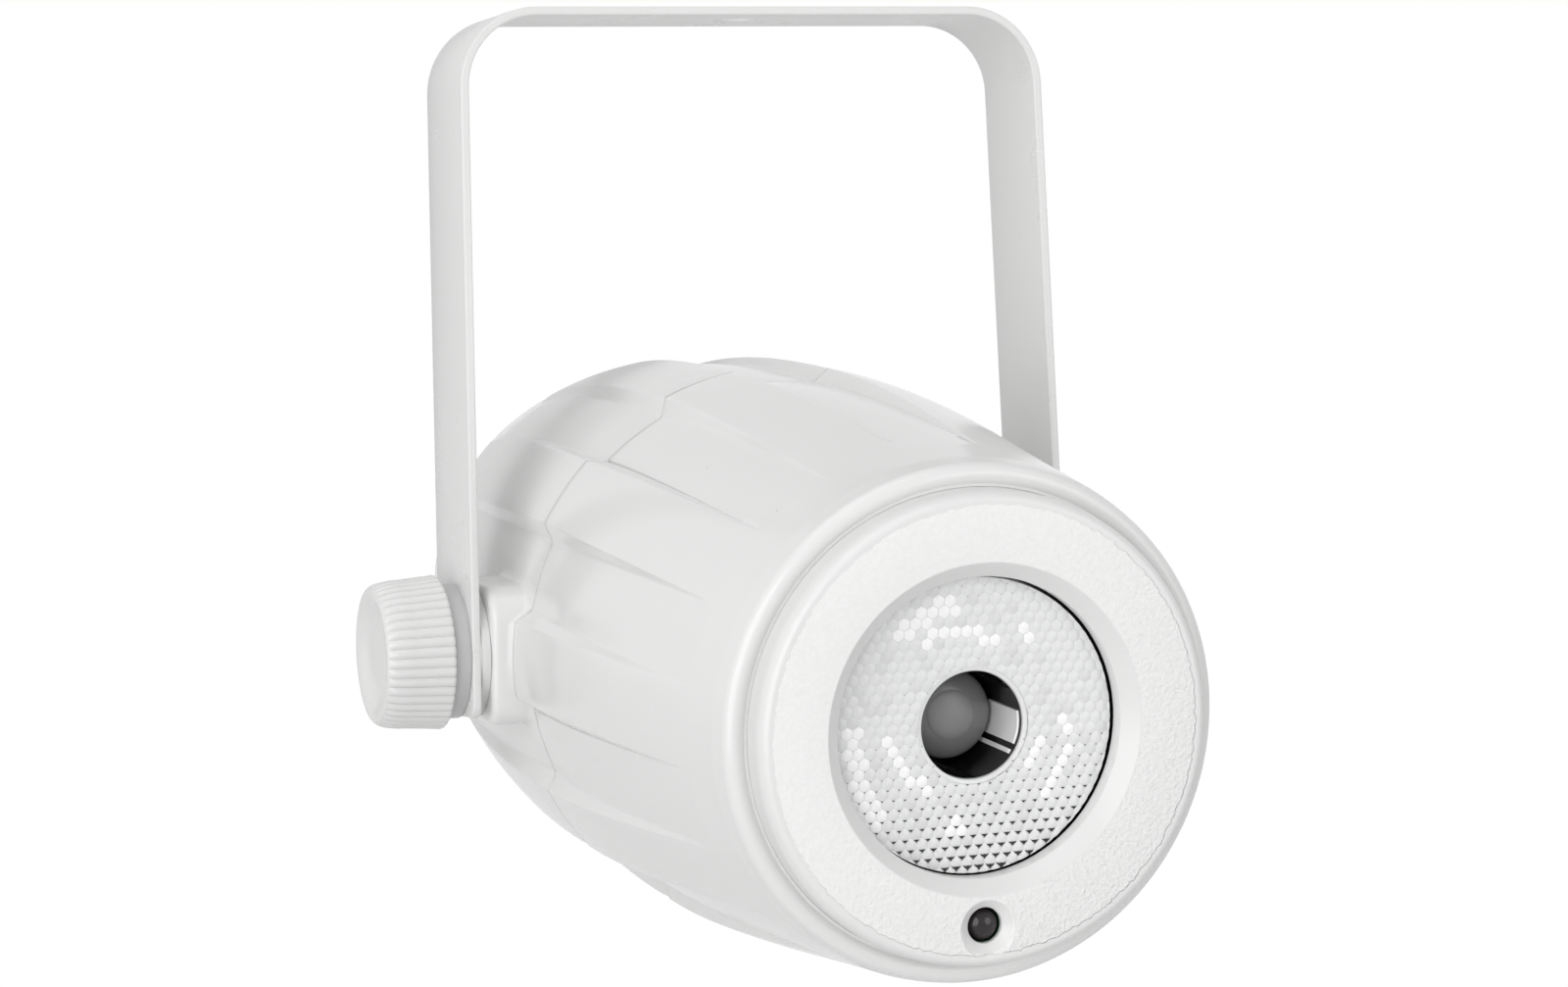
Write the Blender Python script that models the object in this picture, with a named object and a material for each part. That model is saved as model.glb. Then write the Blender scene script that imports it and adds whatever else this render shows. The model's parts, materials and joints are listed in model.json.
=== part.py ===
"""LED pinspot light: a panelled two-part housing that tilts in a bent strap yoke between two hand knobs.

Metres, +Z up. The origin is the centre of the yoke's mounting hole, on the strap's top face, and the
light hangs below it. The beam points along -Y, five degrees nose down, and the pivot axis runs along X.
Inside the head, a place is given by how far forward of the pivot axis it lies along the beam.
"""

from math import cos, pi, radians, sin, tan

import bmesh
import bpy
from mathutils import Matrix, Vector

# Fits
GAP = 0.0003  # between pieces that rest on each other
SLIDE_GAP = 0.0004  # round a piece that moves through a hole

# Yoke, a flat steel strap bent into a U
PIVOT_DROP = 0.1194
STRAP_WIDTH = 0.025
STRAP_THICKNESS = 0.0016
LEG_SPLAY = radians(1.02)
YOKE_BEND = 0.015
LEG_TAIL = 0.012
LEG_CORNER = 0.003
MOUNTING_HOLE_RADIUS = 0.0041

# Head at rest
NOSE_DOWN = radians(5)

# Housing, outside of the raised panels
SEAM = 0.014
SHOULDER_RADIUS = 0.0529
RIM_BASE = 0.104
RIM_BAND = 0.0044  # from the face cap's bore out to the base of the rim
RIM_LENGTH = 0.0064
NOSE_TAPER = 0.108
TAIL = 0.078
TAIL_RADIUS = 0.0436
TAIL_POWER = 2.6
REAR_EDGE = 0.002
HOUSING_WALL = 0.0022
LAP_LENGTH = 0.005
LAP_WALL = 0.0012
LAP_ROOT = 0.021  # from the seam back to where the wall starts to thicken for the lip

# Housing panels, raised and recessed by turns
PANEL_PAIRS = 10
PANEL_TIP_SETBACK = 0.009  # from the rim's base
SEAM_RECESS = 0.003
TAIL_RECESS = 0.0007
PANEL_STEP_MIN = radians(0.4)
PANEL_STEP_LEAN = radians(780)  # for each metre of recess
PANEL_FACETS = 2

# Face cap and its opening
CAP_RADIUS = 0.0401
CAP_WALL = 0.002
CAP_SKIRT = 0.0178
CAP_LEDGE = 0.003
CAP_LEDGE_THICKNESS = 0.0025
FACE_STAND = 0.0058  # beyond the housing's rim
FACE_DISH = 0.0007
CAP_EDGE_WIDTH = 0.0016
CAP_EDGE_DEPTH = 0.0026
APERTURE_RADIUS = 0.0255
APERTURE_BEVEL = 0.0026
APERTURE_BEVEL_DEPTH = 0.0027
APERTURE_LIP = 0.003

# Infrared receiver in the face
IR_INSET = 0.0069  # from the face cap's side
IR_HOLE_RADIUS = 0.00305
IR_COUNTERSINK = 0.00155
IR_COUNTERSINK_DEPTH = 0.0012
IR_SETBACK = 0.0006
IR_DOME = 0.0014
IR_BODY = (0.007, 0.003, 0.007)
IR_BOARD = (0.012, 0.0016, 0.0076)

# Lens, LED and heat sink
LENS_RADIUS = 0.0272
LENS_FLANGE = 0.002
LENS_DEPTH = 0.023
LENS_BACK_RADIUS = 0.0115
LENS_SHOULDER = 0.0018
LENS_BOW = 0.8  # under 1, the cone bows outwards
LENS_WELL_RADIUS = 0.0092
HOLDER_WALL = 0.0015
DOME_RADIUS = 0.008
DOME_RECESS = 0.010
DOME_RISE = 0.003
DOME_WALL = 0.001
EMITTER_SIDE = 0.0094
EMITTER_THICKNESS = 0.001
LED_BOARD_RADIUS = 0.012
BOARD_THICKNESS = 0.0016
SINK_BASE = 0.005
SINK_FIN_LENGTH = 0.034
SINK_FIN_RADIUS = 0.034
SINK_CORE_RADIUS = 0.010
SINK_FINS = 12
SINK_FIN_THICKNESS = 0.002

# Pivot on each side
PAD_STAND = 0.0035  # beyond the housing's shoulder
PAD_ROOT = 0.0049  # below the shoulder, within the housing wall
PAD_SIDE = 0.026
PAD_CORNER = 0.0055
PAD_EDGE = 0.0012
SPACER_THICKNESS = 0.0012
SPACER_RADIUS = 0.0125
STUD_RADIUS = 0.004
STUD_LENGTH = 0.027
INSERT_RADIUS = 0.006
INSERT_LENGTH = 0.010
BOSS_WALL = 0.003
INSERT_BURIAL = 0.002
KNOB_WASHER_RADIUS = 0.010
KNOB_WASHER_THICKNESS = 0.0015
KNOB_RADIUS = 0.0145
KNOB_TIP_RADIUS = 0.0139
KNOB_LENGTH = 0.0127
KNOB_HUB_RADIUS = 0.009
KNOB_HUB_LENGTH = 0.0011
KNOB_RIBBED = 0.009
KNOB_RIBS = 45
KNOB_RIB_DEPTH = 0.0006
KNOB_DISH_RADIUS = 0.0095
KNOB_DISH_DEPTH = 0.0016
KNOB_BORE_DEPTH = 0.009

# Rear panel
PANEL_RECESS = 0.003
PANEL_THICKNESS = 0.0025
PANEL_RADIUS = 0.0384
PANEL_LEDGE = 0.0022
PANEL_LEDGE_THICKNESS = 0.002
SOCKET_X = 0.022
SOCKET_Z = 0.0015
SOCKET_RADIUS = 0.010
SOCKET_FLANGE_RADIUS = 0.011
SOCKET_FLANGE = 0.0015
SOCKET_EDGE = 0.0005
SOCKET_DEPTH = 0.0142
SOCKET_WALL = 0.001
SOCKET_FLOOR = 0.002
SOCKET_CORE_RADIUS = 0.0072
CONTACT_CIRCLE = 0.00475
CONTACT_RADIUS = 0.0012
CONTACT_ANGLES = (radians(15), radians(165), radians(270))
LATCH_Z = 0.0146
LATCH_WIDTH = 0.006
LATCH_HEIGHT = 0.0024
LATCH_STAND = 0.0032
LATCH_TRAVEL = 0.0015
INLET_Z = -0.0235
INLET_WIDTH = 0.027
INLET_HEIGHT = 0.0195
INLET_RIM = 0.0007
INLET_RIM_THICKNESS = 0.0015
INLET_DEPTH = 0.0215
INLET_CAVITY = (0.0242, 0.015, 0.017)
INLET_CORNER = 0.0045
BLADE = (0.002, 0.0115, 0.004)
BLADE_SPREAD = 0.007
BLADE_STEP = 0.002
FUSE_X = 0.0235
FUSE_Z = -0.0175
FUSE_HOLDER_RADIUS = 0.006
FUSE_FLANGE_RADIUS = 0.0068
FUSE_FLANGE = 0.0015
FUSE_HOLDER_DEPTH = 0.026
FUSE_HOLDER_WALL = 0.0014
FUSE_RADIUS = 0.0025
FUSE_LENGTH = 0.020
FUSE_CAP_RADIUS = 0.0054
FUSE_CAP_STAND = 0.003
FUSE_CAP_PLUG = 0.003
FUSE_CAP_EDGE = 0.0005
FUSE_SLOT = 0.001
FUSE_SLOT_LENGTH = 0.0076
MICROPHONE_RADIUS = 0.0048
MICROPHONE_DEPTH = 0.005
MICROPHONE_HOLE_RADIUS = 0.0012

# Display, buttons and boards
DISPLAY_Z = 0.0265
DISPLAY_WIDTH = 0.026
DISPLAY_HEIGHT = 0.010
DISPLAY_FRAME = 0.001
DISPLAY_DEPTH = 0.008
BUTTON_COUNT = 4
BUTTON_Z = 0.014
BUTTON_PITCH = 0.009
BUTTON_RADIUS = 0.0024
BUTTON_EDGE = 0.0004
BUTTON_STEM_RADIUS = 0.0013
BUTTON_STAND = 0.0012
BUTTON_TRAVEL = 0.0008
BUTTON_FLANGE = 0.0009
SWITCH_SIDE = 0.006
SWITCH_HEIGHT = 0.0035
CONTROL_BOARD_WIDTH = 0.052
CONTROL_BOARD_LOW = -0.011
CONTROL_BOARD_TOP = 0.032
POST_RADIUS = 0.0025
POST_PLACES = ((-0.022, 0.025), (0.022, 0.025), (0.0, -0.008))
PILLAR_RADIUS = 0.0029
PILLAR_LENGTH = 0.014
DRIVER_BOARD_SIDE = 0.060
TRANSFORMER = (0.022, 0.018, 0.020)
TRANSFORMER_PLACE = (-0.012, 0.008)
TRANSFORMER_YOKE = 0.003
TRANSFORMER_COIL_RADIUS = 0.011
CAPACITOR_RADIUS = 0.008
CAPACITOR_LENGTH = 0.025
CAPACITOR_PLACE = (0.017, 0.004)

# Shading
SHARP_ANGLE = radians(35)

# Places that follow from the sizes above
LEG_LEAN = tan(LEG_SPLAY)
PAD_FACE = SHOULDER_RADIUS + PAD_STAND
SPACER_OUTER = PAD_FACE + GAP + SPACER_THICKNESS
STRAP_OUTSIDE = SPACER_OUTER + GAP + LEG_LEAN * SPACER_RADIUS + STRAP_THICKNESS
STUD_HOLE_RADIUS = STUD_RADIUS + GAP
WASHER_INNER = STRAP_OUTSIDE + LEG_LEAN * KNOB_WASHER_RADIUS + GAP
HUB_INNER = WASHER_INNER + KNOB_WASHER_THICKNESS + GAP
KNOB_INNER = HUB_INNER + KNOB_HUB_LENGTH
RIM_FRONT = RIM_BASE + RIM_LENGTH
PANEL_TIP = RIM_BASE - PANEL_TIP_SETBACK
FACE_FRONT = RIM_FRONT + FACE_STAND
CAP_BORE = CAP_RADIUS + SLIDE_GAP
RIM_RADIUS = CAP_BORE + RIM_BAND
IR_DROP = CAP_RADIUS - IR_INSET
CAP_BACK = FACE_FRONT - CAP_SKIRT
FACE_INNER = FACE_FRONT - FACE_DISH
APERTURE_BACK = FACE_INNER - APERTURE_BEVEL_DEPTH - APERTURE_LIP
LENS_FRONT = APERTURE_BACK - GAP
LENS_BACK = LENS_FRONT - LENS_DEPTH
SINK_FRONT = LENS_BACK - BOARD_THICKNESS
DOME_FRONT = LENS_FRONT - DOME_RECESS
REAR_END = TAIL + REAR_EDGE
PANEL_FACE = REAR_END - PANEL_RECESS
PANEL_INSIDE = PANEL_FACE - PANEL_THICKNESS
PANEL_SEAT = PANEL_INSIDE - GAP
CONTROL_BOARD_REAR = PANEL_FACE - SOCKET_DEPTH - GAP
CONTROL_BOARD_FRONT = CONTROL_BOARD_REAR - BOARD_THICKNESS
DRIVER_BOARD_REAR = CONTROL_BOARD_FRONT - PILLAR_LENGTH - 2 * GAP
DRIVER_BOARD_FRONT = DRIVER_BOARD_REAR - BOARD_THICKNESS
BUTTON_PLACES = [(step - (BUTTON_COUNT - 1) / 2) * BUTTON_PITCH for step in range(BUTTON_COUNT)]


def clear_scene():
    for obj in list(bpy.data.objects):
        bpy.data.objects.remove(obj, do_unlink=True)


def make_look(name, colour, roughness, metallic=0.0):
    look = bpy.data.materials.new(name)
    look.use_nodes = True
    shader = look.node_tree.nodes["Principled BSDF"]
    shader.inputs["Base Color"].default_value = (*colour, 1.0)
    shader.inputs["Roughness"].default_value = roughness
    shader.inputs["Metallic"].default_value = metallic
    look.diffuse_color = (*colour, 1.0)
    return look


def add_object(name, bm, look=None, parent=None, place=(0, 0, 0), turn=0.0):
    """An object from a mesh in hand, its faces pointing out and its round sides smooth."""
    bmesh.ops.recalc_face_normals(bm, faces=bm.faces[:])
    mesh = bpy.data.meshes.new(name)
    bm.to_mesh(mesh)
    bm.free()
    mesh.shade_smooth()
    mesh.set_sharp_from_angle(angle=SHARP_ANGLE)
    obj = bpy.data.objects.new(name, mesh)
    bpy.context.scene.collection.objects.link(obj)
    if look:
        mesh.materials.append(look)
    obj.parent = parent
    obj.location = place
    obj.rotation_euler.z = turn
    return obj


def add_form(name, bm, parent, place=(0, 0, 0), turn=0.0):
    """A helper shape for a Boolean, which isn't part of the object."""
    form = add_object(name, bm, None, parent, place, turn)
    form.hide_render = True
    form.display_type = "WIRE"
    return form


def combine(obj, form, operation):
    modifier = obj.modifiers.new(form.name, "BOOLEAN")
    modifier.operation = operation
    modifier.object = form
    modifier.solver = "EXACT"


def arc(centre, radius, start, end, steps):
    """Points (forward, radius) along an arc whose angle is counted from forward towards outward."""
    angles = [start + (end - start) * step / steps for step in range(steps + 1)]
    return [(centre[0] + radius * cos(angle), centre[1] + radius * sin(angle)) for angle in angles]


def turn_outline(outline, sides, closed, axis="Y"):
    """A mesh turned from points (along, radius). An open outline starts and ends on the axis."""
    bm = bmesh.new()
    corners = []
    for along, radius in outline:
        spot = {"X": (along, radius, 0), "Y": (radius, -along, 0), "Z": (radius, 0, along)}[axis]
        corners.append(bm.verts.new(spot))
    links = list(zip(corners, corners[1:]))
    if closed:
        links.append((corners[-1], corners[0]))
    edges = [bm.edges.new(link) for link in links]
    axis_vector = {"X": (1, 0, 0), "Y": (0, 1, 0), "Z": (0, 0, 1)}[axis]
    bmesh.ops.spin(
        bm, geom=corners + edges, cent=(0, 0, 0), axis=axis_vector, angle=2 * pi, steps=sides, use_merge=True
    )
    bmesh.ops.remove_doubles(bm, verts=bm.verts[:], dist=1e-7)
    return bm


def make_rod(low, high, radius, sides, axis="Y"):
    return turn_outline([(low, 0), (low, radius), (high, radius), (high, 0)], sides, False, axis)


def make_block(low, high, edge=0.0, steps=2):
    """A box between two corners, with all its edges rounded where an edge radius is given."""
    low = Vector(low)
    high = Vector(high)
    bm = bmesh.new()
    bmesh.ops.create_cube(bm, size=1.0)
    size = high - low
    bmesh.ops.transform(bm, matrix=Matrix.Diagonal((*size, 1.0)), verts=bm.verts[:])
    bmesh.ops.translate(bm, vec=(low + high) / 2, verts=bm.verts[:])
    if edge:
        bmesh.ops.bevel(bm, geom=bm.edges[:], offset=edge, segments=steps, profile=0.5, affect="EDGES")
    return bm


def centred_block(x, z, rear, front, width, height, edge=0.0):
    """A box centred at (x, z), from one place along the beam to another."""
    low = (x - width / 2, -front, z - height / 2)
    high = (x + width / 2, -rear, z + height / 2)
    return make_block(low, high, edge)


def join_meshes(parts):
    """Several separate closed meshes in one, for a helper that cuts them all."""
    whole = bmesh.new()
    for part in parts:
        mesh = bpy.data.meshes.new("joined")
        part.to_mesh(mesh)
        part.free()
        whole.from_mesh(mesh)
        bpy.data.meshes.remove(mesh)
    return whole


def skin_rings(rings, closed=False):
    """A mesh over rings of points. A ring may have twice its neighbour's points, and one point is a pole."""
    bm = bmesh.new()
    rows = [[bm.verts.new(point) for point in ring] for ring in rings]
    pairs = list(zip(rows, rows[1:]))
    if closed:
        pairs.append((rows[-1], rows[0]))
    for first, second in pairs:
        few, many = sorted((first, second), key=len)
        count = len(few)
        if count == 1:
            for step in range(len(many)):
                bm.faces.new((few[0], many[step], many[(step + 1) % len(many)]))
            continue
        for step in range(count):
            following = (step + 1) % count
            if len(many) == count:
                bm.faces.new((few[step], few[following], many[following], many[step]))
                continue
            middle = 2 * step + 1
            after = (2 * step + 2) % len(many)
            bm.faces.new((few[step], many[2 * step], many[middle]))
            bm.faces.new((few[step], many[middle], many[after], few[following]))
    return bm


def hermite(share, start, end, start_rise, end_rise):
    """A cubic from start to end. The rises are its end slopes, taken over the whole span."""
    square = share**2
    cube = share**3
    return (
        (2 * cube - 3 * square + 1) * start
        + (cube - 2 * square + share) * start_rise
        + (3 * square - 2 * cube) * end
        + (cube - square) * end_rise
    )


def housing_radius(forward):
    """Outside radius of the raised panels."""
    if forward >= SEAM:
        span = RIM_BASE - SEAM
        return hermite((forward - SEAM) / span, SHOULDER_RADIUS, RIM_RADIUS, 0, -NOSE_TAPER * span)
    share = min((SEAM - forward) / (SEAM + TAIL), 1.0)
    return SHOULDER_RADIUS - (SHOULDER_RADIUS - TAIL_RADIUS) * share**TAIL_POWER


def recess_depth(forward):
    """How far the recessed panels lie below the raised ones: nothing at their tips, most at the seam."""
    if forward >= SEAM:
        return SEAM_RECESS * max(PANEL_TIP - forward, 0) / (PANEL_TIP - SEAM)
    return SEAM_RECESS + (TAIL_RECESS - SEAM_RECESS) * (SEAM - forward) / (SEAM + TAIL)


def panel_ring(forward, radius, depth):
    """Points round the housing at one place along the beam, panel by panel."""
    period = 2 * pi / PANEL_PAIRS
    step = PANEL_STEP_MIN + PANEL_STEP_LEAN * depth
    arc_angle = period / 2 - step
    ring = []
    for pair in range(PANEL_PAIRS):
        for centre, arc_radius in ((pair * period, radius), ((pair + 0.5) * period, radius - depth)):
            for facet in range(PANEL_FACETS + 1):
                angle = centre + arc_angle * (facet / PANEL_FACETS - 0.5)
                ring.append((arc_radius * cos(angle), -forward, arc_radius * sin(angle)))
    return ring


def outside_ring(forward, inset=0.0):
    """The housing's own section at this place, drawn in by an inset."""
    return panel_ring(forward, housing_radius(forward) - inset, recess_depth(forward))


def round_ring(forward, radius):
    return panel_ring(forward, radius, 0.0)


def clear_radius(forward):
    """Radius of the largest disc that fits inside the housing wall at this place."""
    inside = housing_radius(forward) - recess_depth(forward) - HOUSING_WALL
    return inside * cos(pi / PANEL_PAIRS / PANEL_FACETS / 2) - GAP


def spread(start, end, steps):
    return [start + (end - start) * step / steps for step in range(steps + 1)]


def add_yoke(look):
    top_x = STRAP_OUTSIDE - LEG_LEAN * PIVOT_DROP
    foot_x = STRAP_OUTSIDE + LEG_LEAN * LEG_TAIL
    foot_z = -PIVOT_DROP - LEG_TAIL
    bm = bmesh.new()
    path = ((-foot_x, foot_z), (-top_x, 0), (top_x, 0), (foot_x, foot_z))
    front, back = ([bm.verts.new((x, y, z)) for x, z in path] for y in (-STRAP_WIDTH / 2, STRAP_WIDTH / 2))
    for step in range(3):
        bm.faces.new((front[step], front[step + 1], back[step + 1], back[step]))
    bends = [edge for edge in bm.edges if len(edge.link_faces) == 2]
    reach = YOKE_BEND * tan(pi / 4 - LEG_SPLAY / 2)
    bmesh.ops.bevel(bm, geom=bends, offset=reach, segments=8, profile=0.5, affect="EDGES")
    feet = [vert for vert in bm.verts if vert.co.z < foot_z + GAP]
    bmesh.ops.bevel(bm, geom=feet, offset=LEG_CORNER, segments=3, profile=0.5, affect="VERTICES")
    yoke = add_object("yoke", bm, look)
    strap = yoke.modifiers.new("strap", "SOLIDIFY")
    strap.thickness = STRAP_THICKNESS
    strap.offset = -1.0
    strap.use_even_offset = True
    hole = make_rod(-STRAP_WIDTH, STRAP_WIDTH, MOUNTING_HOLE_RADIUS, 20, "Z")
    combine(yoke, add_form("mounting_hole", hole, None), "DIFFERENCE")
    hole = make_rod(-2 * STRAP_OUTSIDE, 2 * STRAP_OUTSIDE, STUD_HOLE_RADIUS, 20, "X")
    combine(yoke, add_form("stud_holes", hole, None, (0, 0, -PIVOT_DROP)), "DIFFERENCE")


def add_front_shell(look, head):
    seam = SEAM + GAP / 2
    ledge_front = CAP_BACK - GAP
    ledge_rear = ledge_front - CAP_LEDGE_THICKNESS
    ledge_radius = CAP_RADIUS - CAP_LEDGE
    nose_radius = (RIM_RADIUS - NOSE_TAPER * RIM_LENGTH - CAP_BORE) / 2
    nose = arc((RIM_FRONT - nose_radius, CAP_BORE + nose_radius), nose_radius, pi / 2, -pi / 2, 3)
    rings = [outside_ring(forward) for forward in spread(seam, PANEL_TIP, 4)]
    rings.append(outside_ring(RIM_BASE))
    rings += [round_ring(forward, radius) for forward, radius in nose]
    rings.append(round_ring(ledge_front, CAP_BORE))
    rings.append(round_ring(ledge_front, ledge_radius))
    rings.append(round_ring(ledge_rear, ledge_radius))
    rings += [outside_ring(forward, HOUSING_WALL) for forward in spread(ledge_rear, seam, 2)]
    add_object("front_shell", skin_rings(rings, closed=True), look, head)


def add_rear_shell(look, head):
    seam = SEAM - GAP / 2
    lip_front = SEAM + LAP_LENGTH
    lip_inset = HOUSING_WALL + GAP
    opening_radius = PANEL_RADIUS + SLIDE_GAP
    ledge_radius = PANEL_RADIUS - PANEL_LEDGE
    ledge_front = PANEL_SEAT - PANEL_LEDGE_THICKNESS
    edge = arc((-TAIL, TAIL_RADIUS - REAR_EDGE), REAR_EDGE, pi / 2, pi, 2)[1:]
    rings = [outside_ring(forward) for forward in spread(seam, -TAIL, 7)]
    rings += [round_ring(forward, radius) for forward, radius in edge]
    rings.append(round_ring(-REAR_END, opening_radius))
    rings.append(round_ring(-PANEL_SEAT, opening_radius))
    rings.append(round_ring(-PANEL_SEAT, ledge_radius))
    rings.append(round_ring(-ledge_front, ledge_radius))
    rings += [outside_ring(forward, HOUSING_WALL) for forward in spread(-ledge_front, SEAM - 2 * LAP_ROOT, 2)]
    rings += [outside_ring(forward, lip_inset + LAP_WALL) for forward in (SEAM - LAP_ROOT, seam)]
    rings += [outside_ring(lip_front, lip_inset + LAP_WALL), outside_ring(lip_front, lip_inset)]
    rings.append(outside_ring(seam, lip_inset))
    shell = add_object("rear_shell", skin_rings(rings, closed=True), look, head)
    root = SHOULDER_RADIUS - PAD_ROOT
    bore_end = PAD_FACE - INSERT_BURIAL
    boss_inner = bore_end - INSERT_LENGTH - GAP
    half = PAD_SIDE / 2
    for side, turn in (("left", pi), ("right", 0)):
        pad = make_block((root, -half, -half), (PAD_FACE, half, half))
        corners = [edge for edge in pad.edges if abs(edge.verts[0].co.x - edge.verts[1].co.x) > GAP]
        bmesh.ops.bevel(pad, geom=corners, offset=PAD_CORNER, segments=2, profile=0.5, affect="EDGES")
        rim = [edge for edge in pad.edges if min(vert.co.x for vert in edge.verts) > PAD_FACE - GAP]
        bmesh.ops.bevel(pad, geom=rim, offset=PAD_EDGE, segments=2, profile=0.5, affect="EDGES")
        combine(shell, add_form(f"{side}_pad", pad, head, turn=turn), "UNION")
        boss = make_rod(boss_inner, root + PAD_EDGE, INSERT_RADIUS + BOSS_WALL, 16, "X")
        combine(shell, add_form(f"{side}_boss", boss, head, turn=turn), "UNION")
        bore = [(boss_inner - GAP, 0), (boss_inner - GAP, INSERT_RADIUS + GAP), (bore_end, INSERT_RADIUS + GAP)]
        bore += [(bore_end, STUD_HOLE_RADIUS), (PAD_FACE + GAP, STUD_HOLE_RADIUS), (PAD_FACE + GAP, 0)]
        cutter = turn_outline(bore, 20, False, "X")
        combine(shell, add_form(f"{side}_bore", cutter, head, turn=turn), "DIFFERENCE")


def add_face_cap(look, head):
    inside = CAP_RADIUS - CAP_WALL
    plate_rear = FACE_INNER - CAP_WALL
    bevel_radius = APERTURE_RADIUS + APERTURE_BEVEL
    lip_radius = APERTURE_RADIUS + CAP_WALL
    outline = [(CAP_BACK, CAP_RADIUS)]
    for step in range(4):
        angle = pi / 2 * step / 3
        forward = FACE_FRONT - CAP_EDGE_DEPTH * (1 - sin(angle))
        outline.append((forward, CAP_RADIUS - CAP_EDGE_WIDTH * (1 - cos(angle))))
    outline.append((FACE_INNER, bevel_radius))
    outline.append((FACE_INNER - APERTURE_BEVEL_DEPTH, APERTURE_RADIUS))
    outline.append((APERTURE_BACK, APERTURE_RADIUS))
    outline.append((APERTURE_BACK, lip_radius))
    outline.append((plate_rear - APERTURE_BEVEL_DEPTH / 2, lip_radius))
    outline.append((plate_rear, bevel_radius + CAP_WALL))
    outline.append((plate_rear, inside))
    outline.append((CAP_BACK, inside))
    cap = add_object("face_cap", turn_outline(outline, 40, True), look, head)
    countersink_radius = IR_HOLE_RADIUS + IR_COUNTERSINK
    rise = IR_COUNTERSINK / IR_COUNTERSINK_DEPTH * FACE_DISH
    hole = [(plate_rear - CAP_WALL, 0), (plate_rear - CAP_WALL, IR_HOLE_RADIUS)]
    hole += [(FACE_INNER - IR_COUNTERSINK_DEPTH, IR_HOLE_RADIUS), (FACE_INNER, countersink_radius)]
    hole += [(FACE_FRONT, countersink_radius + rise), (FACE_FRONT, 0)]
    cutter = add_form("ir_hole", turn_outline(hole, 20, False), head, (0, 0, -IR_DROP))
    combine(cap, cutter, "DIFFERENCE")


def add_ir_receiver(look, board_look, head):
    width, depth, height = IR_BODY
    bullet_radius = IR_HOLE_RADIUS - GAP
    bullet_front = FACE_INNER - IR_SETBACK
    body_front = FACE_INNER - CAP_WALL - GAP
    body_rear = body_front - depth
    dome_steps = [pi / 2 * step / 3 for step in range(4)]
    bullet = [(body_front - GAP, 0)]
    for angle in dome_steps:
        forward = bullet_front - IR_DOME * (1 - sin(angle))
        bullet.append((forward, bullet_radius * cos(angle)))
    bullet.insert(1, (body_front - GAP, bullet_radius))
    receiver = add_object("ir_receiver", turn_outline(bullet, 16, False), look, head, (0, 0, -IR_DROP))
    body = centred_block(0, -IR_DROP, body_rear, body_front, width, height)
    combine(receiver, add_form("ir_receiver_body", body, head), "UNION")
    width, depth, height = IR_BOARD
    board = centred_block(0, -IR_DROP, body_rear - GAP - depth, body_rear - GAP, width, height)
    add_object("ir_board", board, board_look, head)


def lens_side(forward, reach=0.0):
    """Outside radius of the lens cone, which curves in towards its back like a bowl."""
    share = (forward - LENS_BACK) / (LENS_DEPTH - LENS_FLANGE)
    return reach + LENS_BACK_RADIUS + (LENS_RADIUS - LENS_SHOULDER - LENS_BACK_RADIUS) * share**LENS_BOW


def add_lens(look, head):
    flange_rear = LENS_FRONT - LENS_FLANGE
    outline = [(LENS_FRONT, LENS_WELL_RADIUS), (LENS_FRONT, LENS_RADIUS), (flange_rear, LENS_RADIUS)]
    outline += [(forward, lens_side(forward)) for forward in spread(flange_rear, LENS_BACK, 3)]
    outline.append((LENS_BACK, LENS_WELL_RADIUS))
    add_object("lens", turn_outline(outline, 32, True), look, head)


def add_lens_holder(look, head):
    seat = LENS_FRONT - LENS_FLANGE - GAP
    foot = SINK_FRONT + GAP
    reach = 2 * GAP
    board_clear = LED_BOARD_RADIUS + SLIDE_GAP
    inner = [(forward, lens_side(forward, reach)) for forward in spread(seat, LENS_BACK + GAP, 3)]
    inner = [(forward, max(radius, board_clear)) for forward, radius in inner]
    outline = inner + [(foot, board_clear), (foot, board_clear + HOLDER_WALL)]
    outline += [(forward, radius + HOLDER_WALL) for forward, radius in inner[-2:0:-1]]
    outline += [(seat - HOLDER_WALL, inner[0][1] + HOLDER_WALL), (seat - HOLDER_WALL, LENS_RADIUS)]
    outline.append((seat, LENS_RADIUS))
    add_object("lens_holder", turn_outline(outline, 16, True), look, head)


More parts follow.
